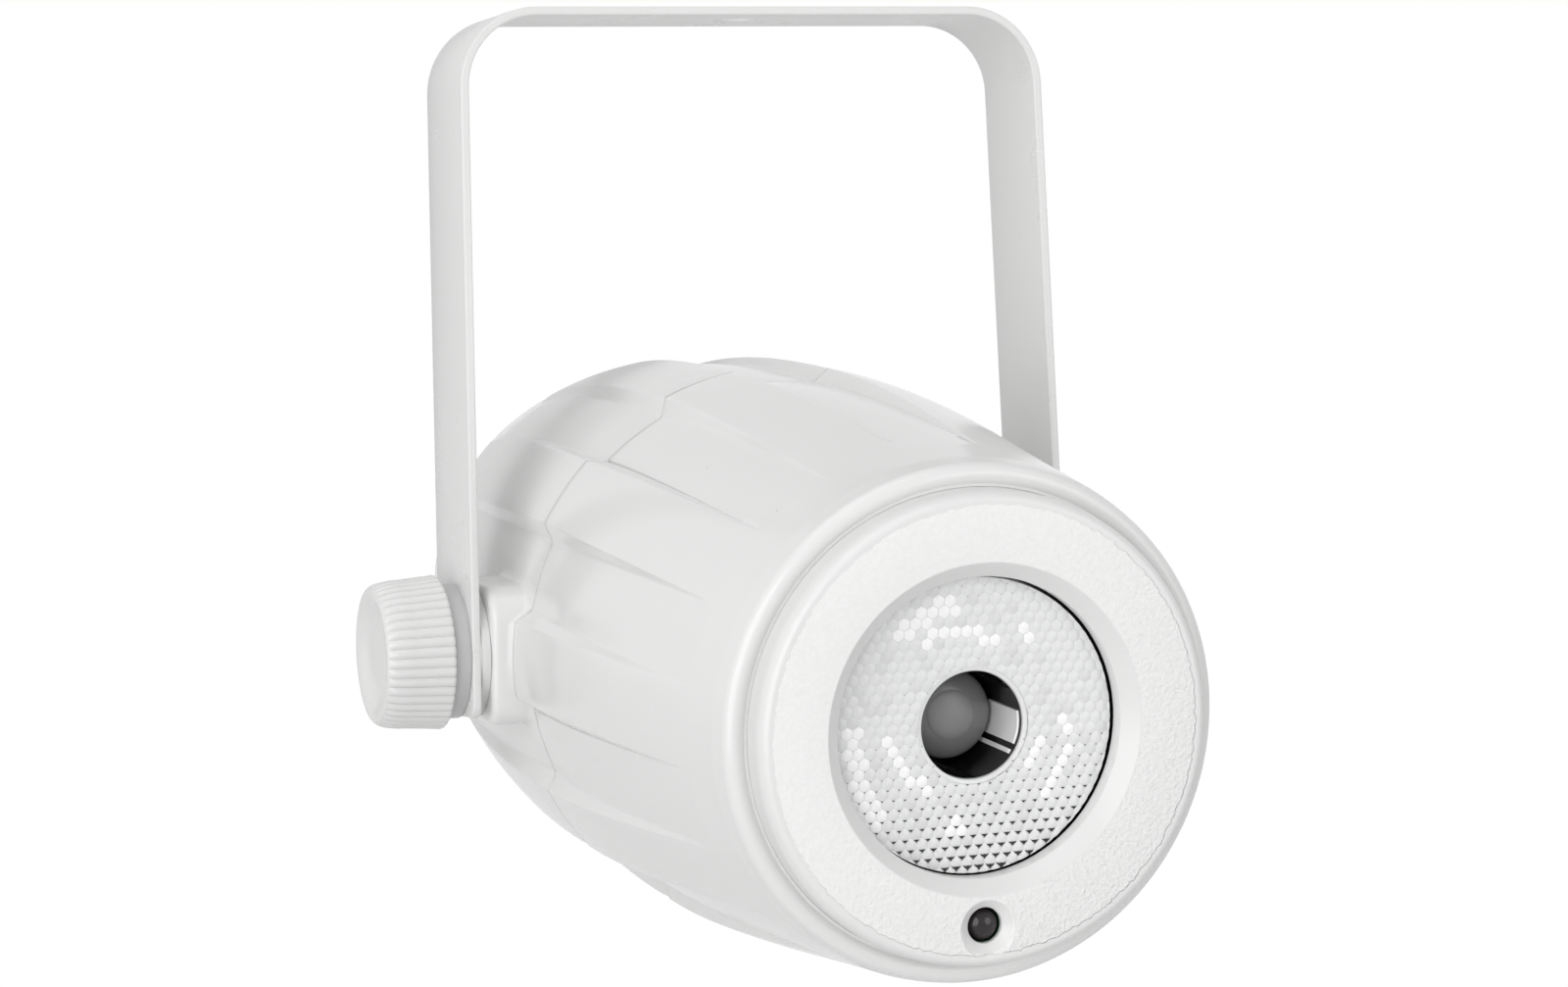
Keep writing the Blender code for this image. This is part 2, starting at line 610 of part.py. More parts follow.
def add_light_engine(dome_look, emitter_look, board_look, metal_look, head):
    board_rear = SINK_FRONT + GAP
    board_front = board_rear + BOARD_THICKNESS - 2 * GAP
    add_object("led_board", make_rod(board_rear, board_front, LED_BOARD_RADIUS, 24), board_look, head)
    seat = board_front + GAP
    emitter = centred_block(0, 0, seat, seat + EMITTER_THICKNESS, EMITTER_SIDE, EMITTER_SIDE)
    add_object("led_emitter", emitter, emitter_look, head)
    shoulder = DOME_FRONT - DOME_RISE
    inside = DOME_RADIUS - DOME_WALL
    outline = [(shoulder - DOME_WALL, 0), (shoulder - DOME_WALL, inside), (seat, inside), (seat, DOME_RADIUS)]
    for step in range(4):
        angle = pi / 2 * step / 3
        outline.append((shoulder + DOME_RISE * sin(angle), DOME_RADIUS * cos(angle)))
    add_object("led_dome", turn_outline(outline, 20, False), dome_look, head)
    base_rear = SINK_FRONT - SINK_BASE
    disc = clear_radius(SINK_FRONT) - GAP
    fin_angle = SINK_FIN_THICKNESS / SINK_FIN_RADIUS
    root_angle = SINK_FIN_THICKNESS / SINK_CORE_RADIUS

    def fin_ring(forward, tip, root):
        ring = []
        for fin in range(SINK_FINS):
            centre = 2 * pi * fin / SINK_FINS
            for radius, angle in ((root, -root_angle), (tip, -fin_angle), (tip, fin_angle), (root, root_angle)):
                place = centre + angle / 2
                ring.append((radius * cos(place), -forward, radius * sin(place)))
        return ring

    rings = [fin_ring(SINK_FRONT, disc, disc), fin_ring(base_rear, disc, disc)]
    rings.append(fin_ring(base_rear, SINK_FIN_RADIUS, SINK_CORE_RADIUS))
    rings.append(fin_ring(base_rear - SINK_FIN_LENGTH, SINK_FIN_RADIUS, SINK_CORE_RADIUS))
    sink = skin_rings([[(0, -SINK_FRONT, 0)], *rings, [(0, SINK_FIN_LENGTH - base_rear, 0)]])
    add_object("heat_sink", sink, metal_look, head)


def add_pivot(side, turn, looks, head):
    """The pieces on one side's stud, from the insert in the housing out to the hand knob."""
    insert_outer = PAD_FACE - INSERT_BURIAL - GAP
    insert_inner = insert_outer - INSERT_LENGTH
    hole = STUD_HOLE_RADIUS

    def ring(name, inner, outer, radius, look, sides=20):
        outline = [(inner, hole), (inner, radius), (outer, radius), (outer, hole)]
        add_object(f"{side}_{name}", turn_outline(outline, sides, True, "X"), look, head, turn=turn)

    ring("insert", insert_inner, insert_outer, INSERT_RADIUS, looks["brass"], 12)
    ring("spacer", PAD_FACE + GAP, SPACER_OUTER, SPACER_RADIUS, looks["rubber"])
    ring("knob_washer", WASHER_INNER, WASHER_INNER + KNOB_WASHER_THICKNESS, KNOB_WASHER_RADIUS, looks["steel"])
    bore_end = KNOB_INNER + KNOB_BORE_DEPTH
    stud_outer = bore_end - GAP
    stud = make_rod(stud_outer - STUD_LENGTH, stud_outer, STUD_RADIUS, 12, "X")
    add_object(f"{side}_knob_stud", stud, looks["steel"], head, turn=turn)
    add_object(f"{side}_knob", make_knob(bore_end), looks["knob"], head, turn=turn)


def make_knob(bore_end):
    chamfer = KNOB_RIB_DEPTH
    tip = KNOB_INNER + KNOB_LENGTH
    rib_end = KNOB_INNER + KNOB_RIBBED
    crest_radius = tip - rib_end - chamfer
    smooth_radius = KNOB_TIP_RADIUS - KNOB_RIB_DEPTH / 2

    def smooth(out, radius):
        angles = [2 * pi * rib / KNOB_RIBS for rib in range(KNOB_RIBS)]
        return [(out, radius * cos(angle), radius * sin(angle)) for angle in angles]

    def ribbed(out, radius):
        ring = []
        for rib in range(2 * KNOB_RIBS):
            angle = pi * (rib - 0.5) / KNOB_RIBS
            reach = radius - KNOB_RIB_DEPTH * (rib % 2)
            ring.append((out, reach * cos(angle), reach * sin(angle)))
        return ring

    rings = [[(bore_end, 0, 0)], smooth(bore_end, STUD_HOLE_RADIUS), smooth(HUB_INNER, STUD_HOLE_RADIUS)]
    rings += [smooth(HUB_INNER, KNOB_HUB_RADIUS), smooth(KNOB_INNER, KNOB_HUB_RADIUS)]
    rings.append(smooth(KNOB_INNER, KNOB_RADIUS - KNOB_RIB_DEPTH - chamfer))
    rings += [ribbed(KNOB_INNER + chamfer, KNOB_RADIUS), ribbed(rib_end, KNOB_TIP_RADIUS)]
    rings.append(smooth(rib_end + chamfer, smooth_radius))
    crest = arc((tip - crest_radius, smooth_radius - crest_radius), crest_radius, pi / 2, 0, 2)
    rings += [smooth(out, radius) for out, radius in crest[1:]]
    for angle in (0, pi / 4):
        rings.append(smooth(tip - KNOB_DISH_DEPTH * sin(angle), KNOB_DISH_RADIUS * cos(angle)))
    rings.append([(tip - KNOB_DISH_DEPTH, 0, 0)])
    return skin_rings(rings)


def add_rear_panel(look, head):
    panel = add_object("rear_panel", make_rod(-PANEL_FACE, -PANEL_INSIDE, PANEL_RADIUS, 48), look, head)
    post_front = CONTROL_BOARD_REAR + GAP
    for number, (x, z) in enumerate(POST_PLACES, 1):
        post = make_rod(-PANEL_INSIDE - PANEL_THICKNESS / 2, -post_front, POST_RADIUS, 12)
        combine(panel, add_form(f"board_post_{number}", post, head, (x, 0, z)), "UNION")
    rear = -PANEL_FACE - PANEL_THICKNESS
    front = -PANEL_INSIDE + PANEL_THICKNESS
    around = 2 * SLIDE_GAP
    round_holes = [(x, BUTTON_Z, BUTTON_RADIUS + SLIDE_GAP) for x in BUTTON_PLACES]
    round_holes += [(x, SOCKET_Z, SOCKET_RADIUS + SLIDE_GAP) for x in (-SOCKET_X, SOCKET_X)]
    round_holes.append((FUSE_X, FUSE_Z, FUSE_HOLDER_RADIUS + SLIDE_GAP))
    round_holes.append((-FUSE_X, FUSE_Z, MICROPHONE_HOLE_RADIUS))
    cutters = []
    for x, z, radius in round_holes:
        cutter = make_rod(rear, front, radius, 16)
        bmesh.ops.translate(cutter, vec=(x, 0, z), verts=cutter.verts[:])
        cutters.append(cutter)
    square_holes = [
        (0, DISPLAY_Z, DISPLAY_WIDTH, DISPLAY_HEIGHT),
        (SOCKET_X, LATCH_Z, LATCH_WIDTH + around, LATCH_HEIGHT + around),
        (0, INLET_Z, INLET_WIDTH + around, INLET_HEIGHT + around),
    ]
    for x, z, width, height in square_holes:
        cutters.append(centred_block(x, z, rear, front, width, height))
    combine(panel, add_form("panel_openings", join_meshes(cutters), head), "DIFFERENCE")


def add_display(window_look, module_look, head):
    width = DISPLAY_WIDTH - 2 * SLIDE_GAP
    height = DISPLAY_HEIGHT - 2 * SLIDE_GAP
    pane = centred_block(0, DISPLAY_Z, -PANEL_FACE + GAP, -PANEL_INSIDE, width, height)
    add_object("display_window", pane, window_look, head)
    width = DISPLAY_WIDTH + 2 * DISPLAY_FRAME
    height = DISPLAY_HEIGHT + 2 * DISPLAY_FRAME
    rear = -PANEL_INSIDE + GAP
    module = centred_block(0, DISPLAY_Z, rear, rear + DISPLAY_DEPTH, width, height)
    add_object("display_module", module, module_look, head)


def add_buttons(look, head):
    plate = PANEL_INSIDE - GAP
    switch_rear = CONTROL_BOARD_REAR + SWITCH_HEIGHT
    inner = -(switch_rear + BUTTON_TRAVEL + GAP)
    for number, x in enumerate(BUTTON_PLACES, 1):
        outer = -PANEL_FACE - BUTTON_STAND
        flange_front = BUTTON_FLANGE - plate
        flange_radius = BUTTON_RADIUS + BUTTON_FLANGE
        outline = [(outer, 0), (outer, BUTTON_RADIUS - BUTTON_EDGE), (outer + BUTTON_EDGE, BUTTON_RADIUS)]
        outline += [(-plate, BUTTON_RADIUS), (-plate, flange_radius), (flange_front, flange_radius)]
        outline += [(flange_front, BUTTON_STEM_RADIUS), (inner, BUTTON_STEM_RADIUS), (inner, 0)]
        add_object(f"menu_button_{number}", turn_outline(outline, 12, False), look, head, (x, 0, BUTTON_Z))


def add_boards(looks, head):
    rear = -CONTROL_BOARD_REAR
    height = CONTROL_BOARD_TOP - CONTROL_BOARD_LOW
    middle = (CONTROL_BOARD_TOP + CONTROL_BOARD_LOW) / 2
    board = centred_block(0, middle, rear, -CONTROL_BOARD_FRONT, CONTROL_BOARD_WIDTH, height)
    control = add_object("control_board", board, looks["board"], head)
    switch_low = rear - SWITCH_HEIGHT
    for number, x in enumerate(BUTTON_PLACES, 1):
        switch = centred_block(x, BUTTON_Z, switch_low, rear + GAP, SWITCH_SIDE, SWITCH_SIDE)
        combine(control, add_form(f"switch_{number}", switch, head), "UNION")
    for number, (x, z) in enumerate(POST_PLACES, 1):
        pillar = make_rod(-CONTROL_BOARD_FRONT + GAP, -DRIVER_BOARD_REAR - GAP, PILLAR_RADIUS, 6)
        add_object(f"board_pillar_{number}", pillar, looks["brass"], head, (x, 0, z))
    side = DRIVER_BOARD_SIDE
    board = centred_block(0, 0, -DRIVER_BOARD_REAR, -DRIVER_BOARD_FRONT, side, side)
    add_object("driver_board", board, looks["board"], head)


def add_driver_parts(looks, head):
    seat = -DRIVER_BOARD_FRONT + GAP
    x, z = TRANSFORMER_PLACE
    width, depth, height = TRANSFORMER
    core = centred_block(x, z, seat, seat + depth, width, height)
    transformer = add_object("transformer", core, looks["dark"], head)
    coil = make_rod(seat + TRANSFORMER_YOKE, seat + depth - TRANSFORMER_YOKE, TRANSFORMER_COIL_RADIUS, 16)
    combine(transformer, add_form("transformer_coil", coil, head, (x, 0, z)), "UNION")
    x, z = CAPACITOR_PLACE
    can = make_rod(seat, seat + CAPACITOR_LENGTH, CAPACITOR_RADIUS, 16)
    add_object("capacitor", can, looks["dark"], head, (x, 0, z))


def socket_outline(floor_front):
    """The side of a round socket, from its flange to the outer edge of its back."""
    flange_front = -PANEL_FACE - GAP
    flange_rear = flange_front - SOCKET_FLANGE
    outline = [(flange_rear, SOCKET_FLANGE_RADIUS - SOCKET_EDGE), (flange_rear + SOCKET_EDGE, SOCKET_FLANGE_RADIUS)]
    outline += [(flange_front, SOCKET_FLANGE_RADIUS), (flange_front, SOCKET_RADIUS), (floor_front, SOCKET_RADIUS)]
    return flange_rear, outline


def add_signal_sockets(look, pin_look, latch_look, head):
    back = -PANEL_FACE + SOCKET_DEPTH
    floor = back - SOCKET_FLOOR
    bore = SOCKET_RADIUS - SOCKET_WALL
    mouth, side = socket_outline(back)
    outline = [(floor, 0), (floor, bore), (mouth, bore), *side, (back, 0)]
    add_object("dmx_in_socket", turn_outline(outline, 20, False), look, head, (-SOCKET_X, 0, SOCKET_Z))
    for number, angle in enumerate(CONTACT_ANGLES, 1):
        pin = make_rod(mouth + SOCKET_FLANGE, floor - GAP, CONTACT_RADIUS, 8)
        place = (-SOCKET_X + CONTACT_CIRCLE * cos(angle), 0, SOCKET_Z + CONTACT_CIRCLE * sin(angle))
        add_object(f"dmx_in_pin_{number}", pin, pin_look, head, place)
    outline = [(mouth, 0), (mouth, SOCKET_CORE_RADIUS), (floor, SOCKET_CORE_RADIUS), (floor, bore), (mouth, bore)]
    outline += [*side, (back, 0)]
    socket = add_object("dmx_out_socket", turn_outline(outline, 20, False), look, head, (SOCKET_X, 0, SOCKET_Z))
    cutters = []
    for angle in CONTACT_ANGLES:
        cutter = make_rod(mouth - SOCKET_FLOOR, floor, CONTACT_RADIUS + GAP, 8)
        spot = (SOCKET_X - CONTACT_CIRCLE * cos(angle), 0, SOCKET_Z + CONTACT_CIRCLE * sin(angle))
        bmesh.ops.translate(cutter, vec=spot, verts=cutter.verts[:])
        cutters.append(cutter)
    combine(socket, add_form("contact_holes", join_meshes(cutters), head), "DIFFERENCE")
    shoulder = -PANEL_INSIDE + GAP
    width = LATCH_WIDTH + 2 * BUTTON_FLANGE
    tab = centred_block(SOCKET_X, LATCH_Z, -PANEL_FACE - LATCH_STAND, shoulder + GAP, LATCH_WIDTH, LATCH_HEIGHT, GAP)
    latch = add_object("dmx_latch", tab, latch_look, head)
    foot = centred_block(SOCKET_X, LATCH_Z, shoulder, shoulder + SWITCH_HEIGHT, width, LATCH_HEIGHT)
    combine(latch, add_form("latch_foot", foot, head), "UNION")


def add_mains_inlet(look, pin_look, head):
    rim = -PANEL_FACE - GAP - INLET_RIM_THICKNESS
    rim_width = INLET_WIDTH + 2 * INLET_RIM
    rim_height = INLET_HEIGHT + 2 * INLET_RIM
    body = centred_block(0, INLET_Z, rim + GAP, rim + INLET_DEPTH, INLET_WIDTH, INLET_HEIGHT)
    inlet = add_object("mains_inlet", body, look, head)
    frame = centred_block(0, INLET_Z, rim, rim + INLET_RIM_THICKNESS, rim_width, rim_height)
    combine(inlet, add_form("inlet_rim", frame, head), "UNION")
    width, depth, height = INLET_CAVITY
    cavity = centred_block(0, INLET_Z, rim - depth, rim + depth, width, height)
    upper = [
        edge
        for edge in cavity.edges
        if abs(edge.verts[0].co.y - edge.verts[1].co.y) > GAP and edge.verts[0].co.z > INLET_Z
    ]
    bmesh.ops.bevel(cavity, geom=upper, offset=INLET_CORNER, segments=1, affect="EDGES")
    combine(inlet, add_form("inlet_cavity", cavity, head), "DIFFERENCE")
    width, length, height = BLADE
    floor = rim + depth - GAP
    for name, x, rise in (("live", -BLADE_SPREAD, -1), ("neutral", BLADE_SPREAD, -1), ("earth", 0, 1)):
        blade = centred_block(x, INLET_Z + rise * BLADE_STEP, floor - length, floor, width, height)
        add_object(f"mains_pin_{name}", blade, pin_look, head)


def add_fuse(looks, head):
    flange_rear = -PANEL_FACE - GAP - FUSE_FLANGE
    back = flange_rear + FUSE_HOLDER_DEPTH
    bore = FUSE_HOLDER_RADIUS - FUSE_HOLDER_WALL
    outline = [(back - FUSE_HOLDER_WALL, 0), (back - FUSE_HOLDER_WALL, bore), (flange_rear, bore)]
    outline += [(flange_rear, FUSE_FLANGE_RADIUS), (flange_rear + FUSE_FLANGE, FUSE_FLANGE_RADIUS)]
    outline += [(flange_rear + FUSE_FLANGE, FUSE_HOLDER_RADIUS), (back, FUSE_HOLDER_RADIUS), (back, 0)]
    place = (FUSE_X, 0, FUSE_Z)
    add_object("fuse_holder", turn_outline(outline, 16, False), looks["dark"], head, place)
    cap_inner = flange_rear - GAP
    cap_outer = cap_inner - FUSE_CAP_STAND
    plug = cap_inner + FUSE_CAP_PLUG
    outline = [(cap_outer, 0), (cap_outer, FUSE_CAP_RADIUS - FUSE_CAP_EDGE)]
    outline.append((cap_outer + FUSE_CAP_EDGE, FUSE_CAP_RADIUS))
    outline += [(cap_inner, FUSE_CAP_RADIUS), (cap_inner, bore - SLIDE_GAP), (plug, bore - SLIDE_GAP), (plug, 0)]
    cap = add_object("fuse_cap", turn_outline(outline, 16, False), looks["dark"], head, place)
    slot = centred_block(0, 0, cap_outer - FUSE_SLOT, cap_outer + FUSE_SLOT, FUSE_SLOT_LENGTH, FUSE_SLOT)
    combine(cap, add_form("fuse_slot", slot, head, place), "DIFFERENCE")
    fuse = make_rod(plug + GAP, plug + GAP + FUSE_LENGTH, FUSE_RADIUS, 12)
    add_object("fuse", fuse, looks["glass"], head, place)


def add_microphone(look, head):
    rear = -PANEL_INSIDE + GAP
    capsule = make_rod(rear, rear + MICROPHONE_DEPTH, MICROPHONE_RADIUS, 16)
    add_object("microphone", capsule, look, head, (-FUSE_X, 0, FUSE_Z))


def build():
    clear_scene()
    white = make_look("white_housing", (0.83, 0.83, 0.82), 0.38)
    looks = {}
    looks["knob"] = make_look("white_knob", (0.85, 0.85, 0.84), 0.3)
    looks["brass"] = make_look("brass", (0.72, 0.56, 0.28), 0.35, 1.0)
    looks["steel"] = make_look("zinc_steel", (0.62, 0.62, 0.6), 0.35, 1.0)
    looks["rubber"] = make_look("grey_rubber", (0.32, 0.32, 0.32), 0.8)
    looks["dark"] = make_look("black_plastic", (0.03, 0.03, 0.032), 0.45)
    looks["glass"] = make_look("clear_plastic", (0.9, 0.92, 0.93), 0.05)
    looks["board"] = make_look("circuit_board", (0.03, 0.2, 0.08), 0.5)
    looks["metal"] = make_look("aluminium", (0.75, 0.76, 0.77), 0.35, 1.0)
    looks["emitter"] = make_look("led_package", (0.85, 0.8, 0.45), 0.5)
    looks["smoke"] = make_look("smoked_window", (0.04, 0.01, 0.012), 0.1)
    head = bpy.data.objects.new("head_pivot", None)
    bpy.context.scene.collection.objects.link(head)
    head.location = (0, 0, -PIVOT_DROP)
    head.rotation_euler.x = NOSE_DOWN
    add_yoke(make_look("white_strap", (0.84, 0.84, 0.83), 0.35))
    add_front_shell(white, head)
    add_rear_shell(white, head)
    add_face_cap(make_look("white_face", (0.84, 0.84, 0.83), 0.5), head)
    add_ir_receiver(looks["smoke"], looks["board"], head)
    add_lens(looks["glass"], head)
    add_lens_holder(looks["dark"], head)
    add_light_engine(looks["glass"], looks["emitter"], looks["board"], looks["metal"], head)
    for side, turn in (("left", pi), ("right", 0)):
        add_pivot(side, turn, looks, head)
    add_rear_panel(looks["dark"], head)
    add_display(looks["smoke"], looks["dark"], head)
    add_buttons(looks["dark"], head)
    add_boards(looks, head)
    add_driver_parts(looks, head)
    add_signal_sockets(looks["dark"], looks["metal"], looks["dark"], head)
    add_mains_inlet(looks["dark"], looks["metal"], head)
    add_fuse(looks, head)
    add_microphone(looks["metal"], head)


build()
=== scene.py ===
import json
from math import asin, atan2, cos, hypot, pi, radians, sin, sqrt, tan

import bmesh
import bpy
from mathutils import Matrix, Vector


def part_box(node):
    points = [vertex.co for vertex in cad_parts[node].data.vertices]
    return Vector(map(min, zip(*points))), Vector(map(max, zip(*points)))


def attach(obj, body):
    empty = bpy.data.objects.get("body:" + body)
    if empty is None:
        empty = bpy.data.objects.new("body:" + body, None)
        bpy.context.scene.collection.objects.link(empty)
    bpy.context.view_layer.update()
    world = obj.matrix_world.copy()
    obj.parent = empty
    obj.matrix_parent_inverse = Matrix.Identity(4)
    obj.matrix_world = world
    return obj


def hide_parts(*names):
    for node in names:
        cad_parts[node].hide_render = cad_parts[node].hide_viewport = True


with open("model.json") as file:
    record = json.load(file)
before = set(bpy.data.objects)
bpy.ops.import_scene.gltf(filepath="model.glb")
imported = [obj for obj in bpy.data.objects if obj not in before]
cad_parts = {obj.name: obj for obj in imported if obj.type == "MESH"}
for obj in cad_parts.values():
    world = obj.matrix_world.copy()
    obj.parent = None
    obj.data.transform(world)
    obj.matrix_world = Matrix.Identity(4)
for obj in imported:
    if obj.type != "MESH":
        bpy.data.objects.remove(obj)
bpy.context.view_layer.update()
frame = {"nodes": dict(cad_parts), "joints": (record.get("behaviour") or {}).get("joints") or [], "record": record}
nodes = frame["nodes"]
slotOf = {row["node"]: row["material_slot"] for row in frame["record"]["subparts"]}
print("frame loaded:", len(nodes), "nodes")


# The head hangs in the yoke by its tilt joint and looks along the buttons' press
def jointNamed(name):
    return next(joint for joint in frame["joints"] if joint["name"] == name)


pivot = Vector(jointNamed("head_tilt")["pos_m"])
beam = Vector(jointNamed("button_1_press")["axis"])
headPlace = Matrix.Translation(pivot) @ Matrix.Rotation(atan2(-beam.z, -beam.y), 4, "X")
yokePlace = Matrix.Identity(4)
knobPlace = Matrix.Translation(pivot)


def headBox(name):  # a node's lowest and highest corner as (across, ahead of the pivot, up)
    spots = [headPlace.inverted() @ vert.co for vert in nodes[name].data.vertices]
    spots = [(spot.x, -spot.y, spot.z) for spot in spots]
    return Vector(map(min, zip(*spots))), Vector(map(max, zip(*spots)))


# Camera, matched to the photograph's edges; pixels are in its 1600 x 1007 frame
photo = {"width": 1600, "height": 1007, "centre": (918.18, 505.66), "focal": 3991.5}
view = {
    "azimuth": -21.223,
    "elevation": 2.137,
    "roll": -1.964,
    "distance": 0.76633,
    "target": (0.03054, 0, 0.02505),  # from the pivot
    "sensor": 36,
    "nearest": 0.01,
}


def addCamera():
    azimuth, elevation, roll = (radians(view[key]) for key in ("azimuth", "elevation", "roll"))
    back = Vector((sin(azimuth) * cos(elevation), -cos(azimuth) * cos(elevation), sin(elevation)))
    right = Vector((cos(azimuth), sin(azimuth), 0))
    tilted = Matrix.Rotation(roll, 3, back)
    axes = Matrix((tilted @ right, tilted @ back.cross(right), back)).transposed().to_4x4()
    camera = bpy.data.objects.new("camera", bpy.data.cameras.new("camera"))
    bpy.context.scene.collection.objects.link(camera)
    camera.matrix_world = Matrix.Translation(pivot + Vector(view["target"]) + back * view["distance"]) @ axes
    lens = camera.data
    lens.sensor_width = view["sensor"]
    lens.lens = photo["focal"] * view["sensor"] / photo["width"]
    lens.shift_x = 0.5 - photo["centre"][0] / photo["width"]
    lens.shift_y = (photo["centre"][1] - photo["height"] / 2) / photo["width"]
    lens.clip_start = view["nearest"]
    bpy.context.scene.camera = camera


# Shader helpers
def placeNode(tree, kind, inputs=None, **settings):
    node = tree.nodes.new(kind)
    for key, value in settings.items():
        setattr(node, key, value)
    for key, value in (inputs or {}).items():
        if isinstance(value, bpy.types.NodeSocket):
            tree.links.new(value, node.inputs[key])
        else:
            node.inputs[key].default_value = value
    return node


def maths(tree, kind, one, two):
    return placeNode(tree, "ShaderNodeMath", {0: one, 1: two}, operation=kind).outputs[0]


def ramp(tree, value, start, end, low=0.0, high=1.0):  # value taken smoothly from start..end to low..high
    inputs = {"Value": value, "From Min": start, "From Max": end, "To Min": low, "To Max": high}
    return placeNode(tree, "ShaderNodeMapRange", inputs, interpolation_type="SMOOTHSTEP").outputs[0]


def noise(tree, place, density, detail, roughness=0.5):
    inputs = {"Vector": place, "Scale": density, "Detail": detail, "Roughness": roughness}
    return placeNode(tree, "ShaderNodeTexNoise", inputs).outputs["Fac"]


def bumped(tree, height, depth):
    return placeNode(tree, "ShaderNodeBump", {"Height": height, "Distance": depth}).outputs[0]


def scaled(tree, colour, level):
    return placeNode(tree, "ShaderNodeVectorMath", {0: colour, "Scale": level}, operation="SCALE").outputs[0]


def mixed(tree, share, one, two):
    inputs = {"Factor": share, "A": one, "B": two}
    return placeNode(tree, "ShaderNodeMix", inputs, data_type="RGBA").outputs["Result"]


def objectPlace(tree):
    return placeNode(tree, "ShaderNodeTexCoord").outputs["Object"]


# The effects that all finishes share
def newGroup(name, inputs, outputs):
    tree = bpy.data.node_groups.new(name, "ShaderNodeTree")
    for label, value in inputs.items():
        kind = "Color" if isinstance(value, tuple) else "Float"
        tree.interface.new_socket(label, in_out="INPUT", socket_type="NodeSocket" + kind).default_value = value
    for label, kind in outputs.items():
        tree.interface.new_socket(label, in_out="OUTPUT", socket_type="NodeSocket" + kind)
    return tree, tree.nodes.new("NodeGroupInput").outputs, tree.nodes.new("NodeGroupOutput").inputs


grain = {
    "detail": (3.0, 0.6),
    "cloud": (60.0, 2.0),  # density and detail of the drifting gloss
    "streaks": (40.0, 9.0, 70.0),  # rub marks are drawn out along the beam
    "scuffs": (14.0, 4.0),
    "rubbed": (0.62, 0.72),
}
tones = {
    "cloud": (22.0, 3.0),
    "cells": 140.0,
    "speck": (0.018, 0.034),  # where a speck's edge fades
    "rare": (0.9, 0.92),  # only one cell in ten has a speck
    "dust": (0.2, 0.19, 0.18, 1),
}


def makeGrainGroup():
    # skin of moulded plastic or sprayed paint: fine bumps, and a gloss that drifts and has faint rub marks
    tree, given, out = newGroup(
        "surfaceGrain",
        {"Size": 0.0004, "Height": 0.00001, "Gloss": 0.4, "Spread": 0.08, "Rubs": 0.0},
        {"Normal": "Vector", "Roughness": "Float"},
    )
    place = objectPlace(tree)
    fine = noise(tree, place, maths(tree, "DIVIDE", 1.0, given["Size"]), *grain["detail"])
    cloud = noise(tree, place, *grain["cloud"])
    drift = maths(tree, "MULTIPLY", maths(tree, "SUBTRACT", cloud, 0.5), given["Spread"])
    rough = maths(tree, "ADD", drift, given["Gloss"])
    streaks = placeNode(tree, "ShaderNodeMapping", {"Vector": place, "Scale": grain["streaks"]}).outputs[0]
    scuffs = ramp(tree, noise(tree, streaks, *grain["scuffs"]), *grain["rubbed"])
    rubs = maths(tree, "MULTIPLY", scuffs, given["Rubs"])
    tree.links.new(bumped(tree, fine, given["Height"]), out["Normal"])
    tree.links.new(maths(tree, "ADD", rough, rubs), out["Roughness"])
    return tree


def makeToneGroup():
    # a plain colour that drifts a little over the surface, with specks of dust and moulding marks
    inputs = {"Colour": (0.8, 0.8, 0.8, 1), "Drift": 0.02, "Specks": 0.1}
    tree, given, out = newGroup("toneDrift", inputs, {"Colour": "Color"})
    place = objectPlace(tree)
    cells = placeNode(tree, "ShaderNodeTexVoronoi", {"Vector": place, "Scale": tones["cells"]}).outputs
    chosen = placeNode(tree, "ShaderNodeSeparateColor", {0: cells["Color"]}).outputs[0]
    cloud = maths(tree, "SUBTRACT", noise(tree, place, *tones["cloud"]), 0.5)
    toned = scaled(tree, given["Colour"], maths(tree, "ADD", maths(tree, "MULTIPLY", cloud, given["Drift"]), 1.0))
    dot = maths(
        tree, "MULTIPLY", ramp(tree, cells["Distance"], *tones["speck"], 1.0, 0.0), ramp(tree, chosen, *tones["rare"])
    )
    speck = maths(tree, "MULTIPLY", dot, given["Specks"])
    tree.links.new(mixed(tree, speck, toned, tones["dust"]), out["Colour"])
    return tree


effects = {"grain": makeGrainGroup(), "tone": makeToneGroup()}


def finish(
    name, colour, gloss, grainSize=0.0004, grainHeight=0.000004, drift=0.02, specks=0.0, spread=0.05, rubs=0.0, **fixed
):
    # fixed values go on the shader's own sockets
    look = bpy.data.materials.new(name)
    look.use_nodes = True
    look.diffuse_color = (*colour, 1)
    tree = look.node_tree
    shader = tree.nodes["Principled BSDF"]
    inputs = {"Size": grainSize, "Height": grainHeight, "Gloss": gloss, "Spread": spread, "Rubs": rubs}
    skinned = placeNode(tree, "ShaderNodeGroup", inputs, node_tree=effects["grain"]).outputs
    inputs = {"Colour": (*colour, 1), "Drift": drift, "Specks": specks}
    toned = placeNode(tree, "ShaderNodeGroup", inputs, node_tree=effects["tone"]).outputs
    tree.links.new(toned["Colour"], shader.inputs["Base Color"])
    tree.links.new(skinned["Roughness"], shader.inputs["Roughness"])
    tree.links.new(skinned["Normal"], shader.inputs["Normal"])
    for key, value in fixed.items():
        shader.inputs[key].default_value = value
    return look


